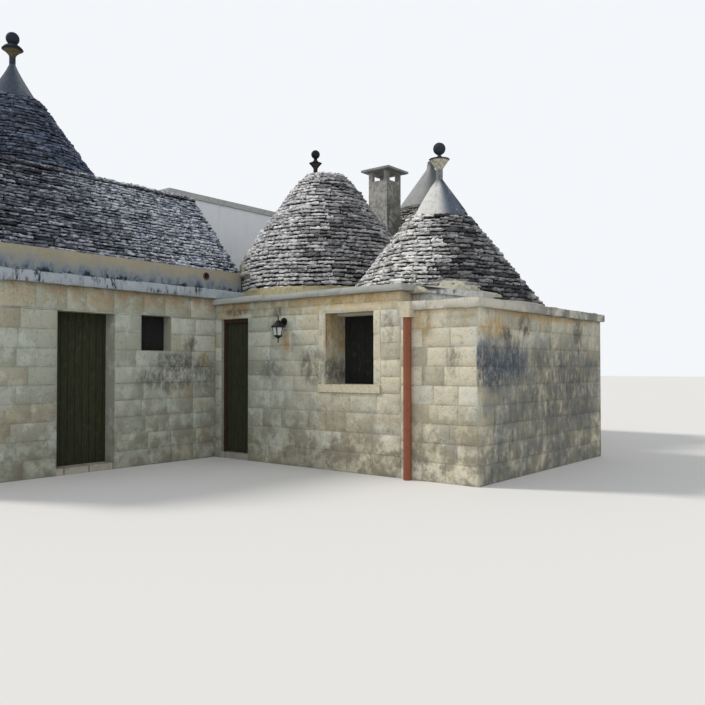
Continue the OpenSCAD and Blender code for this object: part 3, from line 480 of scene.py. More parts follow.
# How far a cornice stands out over its wall, how thick the main one is, and how far the paving of a
# slab starts above or below its top
CORNICE_OUT = 0.08
MAIN_CORNICE_THICK = 0.15
NO_PAVING = 0.05
PAVED = -0.004
DOOR_PAINT = ((0.034, 0.038, 0.016), (0.018, 0.021, 0.010))

# The rubble at the back of the joints between roof slates, coloured near black as painted shade
GAP_SHADE = Finish("roof_gap_painted_shade", 1.0, 0.05, 0.05, (0.006, 0.006, 0.006), (0.045, 0.042, 0.040), 4.0, 0.55).done(
    (0.03, 6.0, 0.7, 0.02))
SLATE_BLUE = slate_finish("slate_main", (0.018, 0.030, 0.058), (0.115, 0.155, 0.245), (0.48, 0.56, 0.70),
                          0.50, 0.75)
SLATE_WING = slate_finish("slate_wing", (0.055, 0.075, 0.115), (0.40, 0.455, 0.57), (0.92, 0.94, 0.98),
                          0.80, 0.85)
SLATE_REAR = slate_finish("slate_rear", (0.08, 0.08, 0.085), (0.38, 0.375, 0.36), (0.64, 0.63, 0.60),
                          0.50, 0.6)
SLATE_BELL = slate_finish("slate_bell", (0.20, 0.20, 0.22), (0.80, 0.79, 0.80), (0.97, 0.96, 0.94),
                          0.80, 0.60)
SLATE_WARM = slate_finish("slate_corner", (0.24, 0.24, 0.24), (0.87, 0.86, 0.84), (0.97, 0.955, 0.93),
                          0.80, 0.60)
TUFA = tufa_finish("tufa")
TUFA_JOINT = tufa_finish("tufa_joint", False, 0.35)
TUFA_PALE = tufa_finish("tufa_pale", False)
SLAB_BLUE = slab_finish("cornice_main", (0.46, 0.50, 0.53), (0.31, 0.355, 0.39), (0.025, 0.032, 0.045),
                        1.0, 0.3, high("main_cornice")[2] + NO_PAVING)
SLAB_GREY = slab_finish("cornice_court", (0.42, 0.42, 0.38), (0.34, 0.355, 0.33), (0.14, 0.14, 0.13),
                        0.3, 0.35, high("court_cornice")[2] + NO_PAVING)
SLAB_PALE = slab_finish("cornice_corner", (0.60, 0.57, 0.48), (0.48, 0.455, 0.39), (0.09, 0.09, 0.09),
                        0.35, 0.2, high("lower_roof_slab")[2] + PAVED, (0.4, 2.4))
SLAB_REAR = slab_finish("cornice_rear", (0.50, 0.485, 0.42), (0.40, 0.39, 0.35), (0.09, 0.09, 0.09),
                        0.6, 0.2, high("rear_roof_slab")[2] + PAVED)
SLAB_SLOPE = slab_finish("coping_slope", (0.56, 0.56, 0.52), (0.44, 0.46, 0.45), (0.03, 0.035, 0.05),
                         0.9, 0.3, high("sloping_coping")[2] + NO_PAVING, marks=(
                             ((4.16, 0.3, 2.76), (0.06, 0.3, 0.12)),
                             ((4.45, 0.3, 2.775), (0.40, 0.2, 0.10))))
FRIEZE = frieze_finish(low("main_cornice")[2] + MAIN_CORNICE_THICK, high("main_roof_deck")[2])
TERRACE = paving_finish("terrace", *ROOF_FLAGS)
FLAGS = paving_finish("flags", (0.46, 0.43, 0.36), (0.38, 0.35, 0.29), (0.20, 0.19, 0.16))
SKIRT = render_finish("mortar", (0.44, 0.38, 0.21), (0.34, 0.32, 0.22), (0.17, 0.15, 0.08), 0.6, 0.07)
CREAM = render_finish("cream_mortar", (0.54, 0.51, 0.40), (0.44, 0.42, 0.34), (0.22, 0.21, 0.17), 0.5, 0.07)
PINK = render_finish("pink_stone", (0.50, 0.42, 0.38), (0.60, 0.55, 0.50), (0.22, 0.20, 0.20), 0.4, 0.05)
DOOR_WOOD = wood_finish("door_wood", *DOOR_PAINT, 0.096)
MAIN_WOOD = wood_finish("main_door_wood", *DOOR_PAINT, 0.12, "Y")
FRAME_WOOD = wood_finish("frame_wood", (0.060, 0.026, 0.018), (0.030, 0.015, 0.011), 2.0)
SHUTTER_WOOD = wood_finish("shutter_wood", (0.013, 0.014, 0.013), (0.007, 0.007, 0.008), 0.16)
PIPE_CLAY = clay_finish("pipe_clay", (0.30, 0.100, 0.050), (0.19, 0.060, 0.033), (0.07, 0.03, 0.02))
VENT_CLAY = clay_finish("vent_clay", (0.13, 0.075, 0.06), (0.08, 0.05, 0.045), (0.03, 0.025, 0.02))
IRON = iron_finish()
GLASS = glass_finish()
DRESSED = stone_finish("dressed_stone", (0.62, 0.57, 0.42), (0.53, 0.485, 0.36), (0.28, 0.25, 0.17), 0.4)
CAP_MAIN = cap_finish("main_cap", MAIN_AXIS, (0.070, 0.088, 0.120), (0.048, 0.062, 0.090),
                      (0.20, 0.215, 0.24), (0.78, 0.63, 0.0), 0.55, 0.98, high("main_cone_cap")[2] + 0.3, 0.3)
CAP_CORNER = cap_finish("corner_cap", CORNER_AXIS, (0.70, 0.69, 0.65), (0.54, 0.54, 0.52),
                        (0.045, 0.075, 0.120), (0.98, 0.02, 0.0), 0.42, 0.86,
                        high("corner_cone_cap")[2] + 0.02, 0.35)
CAP_REAR = cap_finish("rear_cap", REAR_AXIS, (0.36, 0.36, 0.35), (0.24, 0.24, 0.25), (0.07, 0.075, 0.085),
                      (0.95, 0.0, 0.0), 0.1, 0.7, high("rear_cone")[2], 0.6)
FINIAL_MAIN = finial_finish("main_pinnacle", 0.15, 0.14, (0.13, 0.11, 0.06), (0.040, 0.048, 0.065),
                            (0.02, 0.025, 0.035), (0.025, 0.030, 0.042))
FINIAL_BELL = finial_finish("bell_pinnacle", 0.17, 0.11, (0.045, 0.038, 0.026), (0.020, 0.020, 0.026),
                            (0.010, 0.010, 0.014), (0.020, 0.018, 0.020))
FINIAL_CORNER = finial_finish("corner_pinnacle", 0.18, 0.165, (0.56, 0.53, 0.41), (0.20, 0.21, 0.20),
                              (0.04, 0.05, 0.065), (0.035, 0.040, 0.052))
WHITE = white_finish(high("white_roof")[2] - 0.12)
CHIMNEY = chimney_finish(low("chimney_shaft")[2], high("chimney_cap")[2])


# Meshes from arrays


def mesh_piece(name, points, faces, finish, slot, smooth=True, **numbers):
    """A piece of the house from points and lists of corner numbers; numbers are kept at its points by
    name."""
    mesh = bpy.data.meshes.new(name)
    mesh.from_pydata(points.reshape(-1, 3).tolist(), [], [f for group in faces for f in group.tolist()])
    for label, values in numbers.items():
        layer = mesh.attributes.new(label, "FLOAT", "POINT")
        layer.data.foreach_set("value", np.ascontiguousarray(values, dtype=np.float32).ravel())
    if smooth:
        mesh.shade_smooth()
    mesh.materials.append(finish)
    mesh.update()
    piece = put(mesh, name)
    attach(piece, "house")
    return piece


def bar_faces(stations, around):
    """Faces of a bar with closed ends, whose rings run against the way that the bar runs."""
    i, j = np.meshgrid(np.arange(stations - 1), np.arange(around), indexing="ij")
    k = (j + 1) % around
    sides = np.stack([i * around + j, (i + 1) * around + j, (i + 1) * around + k, i * around + k], -1)
    start = np.arange(around)[None]
    end = (stations - 1) * around + np.arange(around)[::-1][None]
    return [sides.reshape(-1, 4), start, end]


def grid_faces(wide, tall):
    """Faces of a cushion: a grid that runs right and then up, and one back face on its rim."""
    i, j = np.meshgrid(np.arange(wide - 1), np.arange(tall - 1), indexing="ij")
    number = i * tall + j
    quads = np.stack([number, number + tall, number + tall + 1, number + 1], -1).reshape(-1, 4)
    right, up = np.arange(wide - 1), np.arange(tall - 1)
    rim = np.concatenate([right * tall, (wide - 1) * tall + up, (wide - 1 - right) * tall + tall - 1,
                          tall - 1 - up])
    return [quads, rim[::-1][None]]


def repeated(faces, count, points_each):
    """The faces of one shape, repeated for many shapes that follow each other."""
    shift = np.arange(count)[:, None, None] * points_each
    return [(group[None] + shift).reshape(-1, group.shape[1]) for group in faces]


# Section of a roof slate: distance out from its front in metres, height as a share of its
# thickness, which points form its back, and how much painted shade each point gets in a joint
SLATE = (np.array([0.0, -0.045, -0.008, 0.0, -0.004, -0.026, 0.0]),
         np.array([0.04, 0.0, 0.12, 0.42, 0.80, 1.0, 0.97]),
         np.array([1, 0, 0, 0, 0, 0, 1], bool),
         np.array([1.0, 1.0, 0.10, 0.0, 0.0, 0.0, 0.5]))
# Section of a slab: square with worn edges
SLAB = (np.array([0.0, -0.012, 0.0, 0.0, -0.012, 0.0]), np.array([0.0, 0.0, 0.10, 0.90, 1.0, 1.0]),
        np.array([1, 0, 0, 0, 0, 1], bool), np.zeros(6))
# Roughness of a slate, which the wear of all stones is measured against, and the least radius of any
# piece round an axis
ROUGH = 0.0055
LEAST_RADIUS = 0.02
# Places along a stone, as shares of its length, and how its ends are worn back and shrunk, with painted shade
# at them
STATIONS = np.array([-0.5, -0.46, -0.28, -0.09, 0.08, 0.27, 0.46, 0.5])
END_WEAR = np.array([0.012, 0.002, 0.0, 0.0, 0.0, 0.0, 0.002, 0.012])
END_SHRINK = np.array([0.88, 0.96, 1.0, 1.0, 1.0, 1.0, 0.96, 0.88])
END_SHADE = np.array([0.35, 0.0, 0.0, 0.0, 0.0, 0.0, 0.0, 0.35])


def stone_shapes(dice, length, height, depth, section, rough):
    """Many stones at once: the section carried along each stone, swelling and thinning on its way,
    shrunk and worn at the ends, with a turn and tilt of its own. Gives along, out and up."""
    out_shape, up_shape, back, joint_shade = section
    count = len(length)
    worn = rough / ROUGH
    along = length[:, None, None] * STATIONS[None, :, None] * np.ones(len(up_shape))
    front = out_shape[None, None] - worn * END_WEAR[None, :, None]
    front = front + dice.normal(0.0, 1.9 * rough, (count, len(STATIONS), 1))
    swell = (1.0 - worn * (1.0 - END_SHRINK))[None, :, None]
    swell = swell * (1.0 + dice.normal(0.0, 0.19 * worn, (count, len(STATIONS), 1)))
    up = (0.5 + (up_shape[None, None] - 0.5) * swell) * height[:, None, None]
    fixed = back[None, None]
    out = np.where(fixed, -depth[:, None, None], front + dice.normal(0.0, rough * 1.1, up.shape))
    up = up + dice.normal(0.0, rough * 0.8, up.shape) * ~fixed
    turn = dice.normal(0.0, rough * 8.0, count)[:, None, None]
    tilt = dice.normal(0.0, rough * 4.0, count)[:, None, None]
    push = dice.normal(0.0, rough * 1.5, count)[:, None, None]
    out = out + np.where(fixed, 0.0, push + turn * along)
    up = up + tilt * along
    along = along + dice.normal(0.0, rough * 0.8, along.shape)
    return along, out, up


def course_cuts(dice, length, mean, spread=0.4):
    """Start and end of stones that fill a length, with uneven lengths near a mean."""
    count = max(1, int(round(length / mean)))
    widths = dice.uniform(1.0 - spread, 1.0 + spread, count)
    ends = np.cumsum(widths) / widths.sum() * length
    return np.concatenate([[0.0], ends[:-1]]), ends


def roof_rows(seed, z0, z1, course, mean):
    """Courses of uneven rise that fill a height: the foot, rise and mean stone length of each."""
    dice = np.random.default_rng(seed)
    count = max(1, int(round((z1 - z0) / course)))
    rises = dice.uniform(0.84, 1.16, count)
    rises = rises / rises.sum() * (z1 - z0)
    feet = z0 + np.concatenate([[0.0], np.cumsum(rises)[:-1]])
    return np.stack([feet, rises, np.full(count, mean)], 1)


def greys(dice, count):
    """A grey for each stone, as a share near a half."""
    return np.clip(dice.normal(0.5, 0.22, count), 0.0, 1.0)


def stones_piece(name, points, dice, finish, slot, section, dark_at=None):
    """One mesh of many stones, each with a grey of its own, the dark growth and painted shade of its
    place, and painted shade in the hollows of slates.
    """
    count, stations, around = points.shape[:3]
    each = stations * around
    faces = repeated(bar_faces(stations, around), count, each)
    tone = greys(dice, count)
    spots = points.reshape(count, each, 3).mean(1)
    dark = np.zeros(count) if dark_at is None else dark_at(spots, dice)
    joint_shade = np.maximum(END_SHADE[:, None], section[3][None]) * float(section is SLATE)
    return mesh_piece(name, points, faces, finish, slot, smooth=section is not SLATE,
                      tone=np.repeat(tone, each), dark=np.repeat(dark, each),
                      deep=np.tile(joint_shade.ravel(), count))


def round_axis(axis, radius, angle, z):
    """Points at a radius, an angle and a height round an upright axis."""
    return np.stack([axis[0] + radius * np.cos(angle), axis[1] + radius * np.sin(angle), z], -1)


def ring_stones(name, axis, rows, radius_at, finish, seed, section=SLATE, depth=0.14, rough=ROUGH,
                fill=(0.60, 0.88), dark_at=None, keep=None):
    """Level courses of stones round an upright axis. A stone's middle is at an angle, its front
    stands at the outline's radius half way up its course, and its length bends round the axis;
    the course lines rise and fall with the sines of three and seven times the angle."""
    dice = np.random.default_rng(seed)
    angle, length, radius, base, tall = [], [], [], [], []
    for z, rise, mean in rows:
        r = radius_at(z + 0.5 * rise)
        start, end = course_cuts(dice, 2.0 * np.pi * r, min(mean, 0.9 * r + 0.03))
        turn = (start + end) / 2.0 / r + dice.uniform(0.0, 2.0 * np.pi)
        angle.append(turn)
        length.append(end - start - rough)
        radius.append(np.full(len(start), r))
        wave = rough * (1.8 * np.sin(3.0 * turn) + 1.5 * np.sin(7.0 * turn + 2.0 * z))
        base.append(z + wave + dice.normal(0.0, 0.7 * rough, len(start)))
        tall.append(rise * dice.uniform(*fill, len(start)))
    angle, length, radius, base, tall = map(np.concatenate, (angle, length, radius, base, tall))
    if keep is not None:
        good = keep(round_axis(axis, radius, angle, base + tall / 2.0))
        angle, length, radius, base, tall = (a[good] for a in (angle, length, radius, base, tall))
    along, out, up = stone_shapes(dice, length, tall, np.minimum(depth, 0.8 * radius), section, rough)
    turn = angle[:, None, None] + along / radius[:, None, None]
    reach = np.maximum(radius[:, None, None] + out, LEAST_RADIUS)
    points = round_axis(axis, reach, turn, base[:, None, None] + up)
    return stones_piece(name, points, dice, finish, "roof_stone", section, dark_at)


def flat_stones(name, start, along, rows, finish, slot, seed, section=SLATE, depth=0.14, rough=ROUGH,
                keep=None, lean=0.0, gap=0.008, wave=0.0, dark_at=None):
    """Courses of stones on a flat face. Each row gives its height above start, its thickness,
    where it begins and ends along the face and its mean stone length; lean moves higher rows in."""
    dice = np.random.default_rng(seed)
    outward = np.cross(along, UP)
    middles, length, base, tall = [], [], [], []
    for z, thick, begin, end, mean in rows:
        cut_start, cut_end = course_cuts(dice, end - begin, mean)
        middles.append(begin + (cut_start + cut_end) / 2.0)
        length.append(cut_end - cut_start - gap)
        base.append(np.full(len(cut_start), z))
        tall.append(np.full(len(cut_start), thick))
    middles, length, base, tall = map(np.concatenate, (middles, length, base, tall))
    out_base = -lean * (base + 0.45 * tall)
    if keep is not None:
        spot = start + np.outer(middles, along) + np.outer(out_base, outward) + np.outer(base, UP)
        good = keep(spot)
        middles, length, base, tall, out_base = (a[good] for a in (middles, length, base, tall, out_base))
    if section is SLATE:
        base = base + wave * (np.sin(2.1 * middles) + 0.7 * np.sin(5.3 * middles + 3.0 * base))
        base = base + dice.normal(0.0, 0.5 * rough, len(base))
        tall = tall * dice.uniform(0.80, 1.10, len(base))
    w, out, up = stone_shapes(dice, length, tall, np.full(len(length), depth), section, rough)
    w = w + middles[:, None, None]
    out = out + out_base[:, None, None]
    up = up + base[:, None, None]
    points = start + w[..., None] * along + out[..., None] * outward + up[..., None] * UP
    return stones_piece(name, points, dice, finish, slot, section, dark_at)


def revolve(name, axis, outline, finish, slot, around=72, wobble=0.0, seed=1, ring=False, clamp=None):
    """A surface of revolution: the outline's radius and height carried round an upright axis,
    with slow waves of the radius. A ring's outline is closed; other ends are closed by discs."""
    dice = np.random.default_rng(seed)
    outline = np.array(outline, float)
    rows = len(outline)
    angle = np.arange(around) * 2.0 * np.pi / around
    wave = sum(np.sin(k * angle + dice.uniform(0, 6.28)) / k for k in (2, 3, 5, 11))
    radius = outline[:, 0][:, None] * (1.0 + wobble * wave[None] / 1.5)
    z = np.repeat(outline[:, 1][:, None], around, 1)
    points = round_axis(axis, radius, angle, z)
    if clamp is not None:
        points = clamp(points)
    i, j = np.meshgrid(np.arange(rows if ring else rows - 1), np.arange(around), indexing="ij")
    k = (j + 1) % around
    n = (i + 1) % rows
    quads = np.stack([i * around + j, i * around + k, n * around + k, n * around + j], -1).reshape(-1, 4)
    faces = [quads]
    if not ring:
        faces += [np.arange(around)[::-1][None], ((rows - 1) * around + np.arange(around))[None]]
    return mesh_piece(name, points, faces, finish, slot)


# Grid lines across and up a mound of mortar, and how deep its rim lies in the roof
MOUND_WIDE = 26
MOUND_TALL = 16
MOUND_SUNK = 0.06


def mound(name, axis, radius_at, span, rise, thick, seed):
    """A mound of mortar on a round roof: it stands out from the roof's radius by a swell, a power
    of the product of the sines of its width and height, with rough lumps; its rim lies inside."""
    dice = np.random.default_rng(seed)
    u = np.linspace(0.0, 1.0, MOUND_WIDE)[:, None]
    v = np.linspace(0.0, 1.0, MOUND_TALL)[None]
    swell = np.clip(np.sin(np.pi * u) * np.sin(np.pi * v), 0.0, 1.0) ** 0.5
    angle = span[0] + (span[1] - span[0]) * u + 0.0 * v
    z = rise[0] + (rise[1] - rise[0]) * v * (1.0 - 0.35 * u)
    radius = np.vectorize(radius_at)(z) - MOUND_SUNK + (thick + MOUND_SUNK) * swell
    radius = radius + dice.normal(0.0, 0.004, radius.shape)
    return mesh_piece(name, round_axis(axis, radius, angle, z), grid_faces(MOUND_WIDE, MOUND_TALL), CREAM,
                      "terrace_render")


# Wall blocks

# Lines across a block each way, width of its worn edge, depth and half width of a joint, how far the
# face stands out, its roughness, and the usual height and length of a block
BLOCK_GRID = 6
BLOCK_EDGE = 0.012
BLOCK_SUNK = 0.004
BLOCK_JOINT = 0.0025
BLOCK_PROUD = 0.006
BLOCK_ROUGH = 0.0012
BLOCK_COURSE = 0.27
BLOCK_LENGTH = 0.48


def box_sides(x0, y0, x1, y1):
    """The sides of a level box by name, each from its start to its end with the outside on the right."""
    return {"south": ((x0, y0), (x1, y0)), "east": ((x1, y0), (x1, y1)), "north": ((x1, y1), (x0, y1)),
            "west": ((x0, y1), (x0, y0))}


def line_between(start, end):
    """Direction and length of the level line from one plan place to another."""
    step = np.array([end[0] - start[0], end[1] - start[1], 0.0])
    length = np.linalg.norm(step)
    return step / length, length


def wall_rows(height, breaks):
    """Bottom and top of each course, with course lines on the breaks."""
    levels = sorted({0.0, height, *[b for b in breaks if 0.0 < b < height]})
    rows = []
    for a, b in zip(levels[:-1], levels[1:]):
        count = max(1, int(round((b - a) / BLOCK_COURSE)))
        lines = np.linspace(a, b, count + 1)
        rows += list(zip(lines[:-1], lines[1:]))
    return rows


def free_spans(width, holes, z0, z1):
    """The stretches of a course that no hole crosses."""
    spans = [(0.0, width)]
    for left, right, bottom, top in holes:
        if z1 <= bottom + 1e-6 or z0 >= top - 1e-6:
            continue
        spans = [part for a, b in spans for part in ((a, min(b, left)), (max(a, right), b))
                 if part[1] - part[0] > 0.03]
    return spans


def block_wall(name, start, end, foot, height, holes, seed):
    """Tufa blocks laid on a wall face from its start to its end, as seen from outside. Each block is
    a shallow cushion: its face swells with the product of two sines of its width and height, its rim
    sinks into the joint and its back is flat. Holes are counted from the start and the foot."""
    dice = np.random.default_rng(seed)
    along, width = line_between(start, end)
    outward = np.cross(along, UP)
    breaks = [level for hole in holes for level in hole[2:]]
    left, right, bottom, top = [], [], [], []
    for z0, z1 in wall_rows(height, breaks):
        for a, b in free_spans(width, holes, z0, z1):
            first, last = course_cuts(dice, b - a, BLOCK_LENGTH, 0.3)
            left.append(a + first)
            right.append(a + last)
            bottom.append(np.full(len(first), z0))
            top.append(np.full(len(first), z1))
    left, right, bottom, top = map(np.concatenate, (left, right, bottom, top))
    count = len(left)

    def marks(first, last):
        """Grid lines across a block: its rim, a worn edge, and even lines between."""
        a, b = first + BLOCK_JOINT, last - BLOCK_JOINT
        even = np.linspace(0.0, 1.0, BLOCK_GRID - 2)
        inner = (a + BLOCK_EDGE)[:, None] + (b - a - 2.0 * BLOCK_EDGE)[:, None] * even
        return np.concatenate([a[:, None], inner, b[:, None]], 1)

    w = np.repeat(marks(left, right)[:, :, None], BLOCK_GRID, 2)
    up = np.repeat(marks(bottom, top)[:, None, :], BLOCK_GRID, 1)
    share = np.linspace(0.0, np.pi, BLOCK_GRID)
    swell = np.sqrt(np.clip(np.outer(np.sin(share), np.sin(share)), 0.0, 1.0))
    rim = np.zeros((BLOCK_GRID, BLOCK_GRID), bool)
    rim[[0, -1], :] = True
    rim[:, [0, -1]] = True
    face = BLOCK_PROUD * (0.6 + 0.4 * swell)[None]
    face = face + dice.normal(0.0, BLOCK_ROUGH, (count, BLOCK_GRID, BLOCK_GRID))
    face = face + dice.normal(0.0, BLOCK_ROUGH, count)[:, None, None]
    out = np.where(rim[None], -BLOCK_SUNK, np.maximum(face, 0.002))
    w = w + np.where(rim[None], 0.0, dice.normal(0.0, BLOCK_ROUGH, out.shape))
    up = up + np.where(rim[None], 0.0, dice.normal(0.0, BLOCK_ROUGH, out.shape))
    corner = np.array([*start, foot])
    points = corner + w[..., None] * along + out[..., None] * outward + up[..., None] * UP
    each = BLOCK_GRID * BLOCK_GRID
    faces = repeated(grid_faces(BLOCK_GRID, BLOCK_GRID), count, each)
    return mesh_piece(name, points, faces, TUFA, "tufa_wall",
                      tone=np.repeat(greys(dice, count), each),
                      tint=np.repeat(dice.uniform(0.0, 1.0, count), each))


# Roofs

# Rise of a course and mean length of a slate on each roof
COURSES = {"main": (0.066, 0.30), "bell": (0.073, 0.24), "corner": (0.068, 0.22), "rear": (0.075, 0.25),
           "gable": (0.061, 0.30)}
# How far the rubble lies behind the slates' fronts, and how far the top course rises past its solid
CORE_BEHIND = 0.05
TOP_LAP = 0.01
# The gable: how much of its course a slate fills, how thick the rubble under its slope is, and how
# far its filled ends reach in from the front and from the back
GABLE_FILL = 0.76
GABLE_SHELL = 0.20
GABLE_FRONT = 0.70
GABLE_BACK = 0.80
# Thickness of each roof's shell at its foot, and how far the slates' outline passes a cap's foot
MAIN_SHELL = 0.70
BELL_SHELL = 0.45
CORNER_SHELL = 0.65
REAR_SHELL = 0.55
MAIN_PAST_CAP = 0.08
CORNER_PAST_CAP = 0.085
# Height of the bell's drum; the pale blocks at its front left foot: the directions between which they
# stand in degrees, the height of their middle over the ground and their reach up and down, their foot
# over the drum's, their height and mean length; and the ledge stone's foot over the drum's
BELL_DRUM = 0.2
BLOCKS_FROM = -152.0
BLOCKS_TO = -118.0
BLOCKS_MIDDLE = 3.47
BLOCKS_REACH = 0.16
BLOCKS_FOOT = 0.56
BLOCKS_TALL = 0.26
BLOCKS_LONG = 0.27
LEDGE_FOOT = 0.50
# The corner cone against the parapet and the sloping coping: the fall of the coping's top, the gap
# that is left over it, how far before the coping's start its space begins, and the depth and height
# of the space kept free for the parapet
COPING_FALL = 0.17
COPING_GAP = 0.005
PARAPET_LAP = 0.25
PARAPET_DEEP = 0.325
PARAPET_TALL = 0.275
# The rear cone: radius and height over its foot of its bend and of its tip, the height of its cap's
# foot, the radius at its very top, the radius of its open space at the bend and the height of that
# space, and how far the cap stands out over the slates' outline
REAR_BEND = (1.34, 1.55)
REAR_TIP = (0.08, 3.35)
REAR_CAP_FOOT = 2.35
REAR_TOP_RADIUS = 0.056
REAR_SPACE = (0.79, 1.80)
REAR_CAP_OVER = 0.016


def growth_and_shade(axis, *lobes, mottle=0.35):
    """Dark growth on the sides of a roof, which also stands in as painted shade on the side of a cone
    away from the sun: each lobe gives the way it looks, where it starts and is full as a cosine, and
    its strength. Its edge wanders with a sine of the height, and it is uneven from stone to stone."""

    def dark_at(spots, dice):
        """A share of dark growth and painted shade for each stone, from the place of its middle."""
        side = spots[:, :2] - np.array(axis)[None]
        side = side / np.maximum(np.linalg.norm(side, axis=1, keepdims=True), 1e-6)
        total = np.full(len(spots), 0.03)
        wander = 0.05 * np.sin(5.0 * spots[:, 2]) + dice.normal(0.0, 0.07, len(spots))
        for toward, start, end, strength in lobes:
            toward = np.array(toward) / np.linalg.norm(toward)
            share = np.clip((side @ toward + wander - start) / (end - start), 0.0, 1.0)
            total = np.maximum(total, share * share * (3.0 - 2.0 * share) * strength)
        return np.clip(total * dice.uniform(1.0 - mottle, 1.0 + mottle, len(spots)), 0.0, 0.95)

    return dark_at


def outline_line(points):
    """Radius at a height along an outline of radius and height points."""
    table = np.array(points, float)
    return lambda z: float(np.interp(z, table[:, 1], table[:, 0]))


def core(name, node, axis, inner, outer, clamp=None):
    """The rubble behind the slates: the solid's hollow shell, drawn in behind their fronts."""
    outer = [(max(r - CORE_BEHIND, LEAST_RADIUS), z) for r, z in outer]
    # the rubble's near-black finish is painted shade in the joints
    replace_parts(revolve(name, axis, inner + outer, GAP_SHADE, "roof_stone", clamp=clamp), node)


def open_space(wide, z0, slope, thick):
    """Outline of the space under a straight cone whose foot is so thick."""
    reach = wide - thick
    return [(LEAST_RADIUS, z0 + reach / slope - 0.05), (reach, z0)]


def main_line_points():
    """Outline of the main cone, from its foot to its cap."""
    return [(half_width("main_cone"), low("main_cone")[2]),
            (half_width("main_cone_cap") + MAIN_PAST_CAP, high("main_cone")[2])]


def dress_main_cone():
    """The tall cone: slates up to its smooth cap, over a hollow core."""
    points = main_line_points()
    (wide, z0), (narrow, z1) = points
    slope = (wide - narrow) / (z1 - z0)
    core("main_core", "main_cone", MAIN_AXIS, open_space(wide, z0, slope, MAIN_SHELL), points)
    dark = growth_and_shade(MAIN_AXIS, ((0.80, -0.60), -0.3, 0.9, 0.45), mottle=0.6)
    rows = roof_rows(1, z0, z1 + TOP_LAP, *COURSES["main"])
    ring_stones("main_slates", MAIN_AXIS, rows, outline_line(points), SLATE_BLUE, 11, rough=0.0042,
                dark_at=dark)


def azimuth(spots, axis):
    """Direction of places from an upright axis, in degrees from the X axis."""
    return np.degrees(np.arctan2(spots[:, 1] - axis[1], spots[:, 0] - axis[0]))


def dress_bell():
    """The bell dome: slates on its outline over a mortar skirt, pale blocks at its front left foot
    and a crown of flat slabs round its finial."""
    foot, top = low("bell_dome"), high("bell_dome")
    wide = half_width("bell_dome")
    z0 = foot[2] + BELL_DRUM
    tall = top[2] - z0
    shares = [(1, 0), (0.995, 0.23), (0.965, 0.3), (0.905, 0.365), (0.745, 0.55), (0.58, 0.695),
              (0.465, 0.82), (0.35, 0.925), (0.241, 1.0)]
    outer = [(wide * r, z0 + tall * z) for r, z in shares]
    line = outline_line(outer)
    inner = [(r - BELL_SHELL, z) for r, z in outer[::-1] if r > BELL_SHELL + 0.05]
    inner.append((wide - BELL_SHELL, foot[2]))
    core("bell_core", "bell_dome", BELL_AXIS, [(LEAST_RADIUS, inner[0][1])] + inner,
         [(wide - 0.01, foot[2])] + outer)

    def on_blocks(spots):
        """Places of the pale blocks."""
        turn = azimuth(spots, BELL_AXIS)
        level = np.abs(spots[:, 2] - BLOCKS_MIDDLE) < BLOCKS_REACH
        return (turn > BLOCKS_FROM) & (turn < BLOCKS_TO) & level

    dark = growth_and_shade(BELL_AXIS, ((0.97, 0.10), 0.30, 0.90, 0.50), ((0.85, -0.52), 0.84, 0.98, 0.62))
    rows = roof_rows(2, foot[2] + 0.12, top[2] - 0.02, *COURSES["bell"])
    ring_stones("bell_slates", BELL_AXIS, rows, line, SLATE_BELL, 12, dark_at=dark,
                keep=lambda spots: ~on_blocks(spots))
    ring_stones("bell_foot_blocks", BELL_AXIS, [(foot[2] + BLOCKS_FOOT, BLOCKS_TALL, BLOCKS_LONG)],
                lambda z: line(max(z, z0)) + 0.01, CREAM, 15, SLAB, rough=0.004, fill=(0.92, 0.97),
                keep=on_blocks)
    ring_stones("bell_ledge_stone", BELL_AXIS, [(foot[2] + LEDGE_FOOT, 0.060, 0.36)],
                lambda z: line(z) + 0.09, PINK, 16, SLAB, rough=0.004, fill=(0.94, 0.97),
                keep=lambda spots: np.abs(azimuth(spots, BELL_AXIS) - BLOCKS_TO) < 13.0)
    crown = line(top[2])
    rows = [(top[2] - 0.030, 0.050, 0.20)]
    for number, share in enumerate((1.0, 0.66, 0.34)):
        ring_stones(f"bell_crown_{number}", BELL_AXIS, rows, lambda z, r=crown * share: r, SLATE_BELL,
                    17 + number, depth=0.16, fill=(0.80, 0.95))
    skirt = [(wide - 0.10, z0 + 0.03), (wide - 0.10, foot[2]), (wide + 0.13, foot[2]),
             (wide + 0.10, foot[2] + 0.03), (wide + 0.035, z0 - 0.03), (wide + 0.01, z0 + 0.03)]
    revolve("bell_skirt", BELL_AXIS, skirt, SKIRT, "terrace_render", around=120, wobble=0.008, seed=5,
            ring=True)


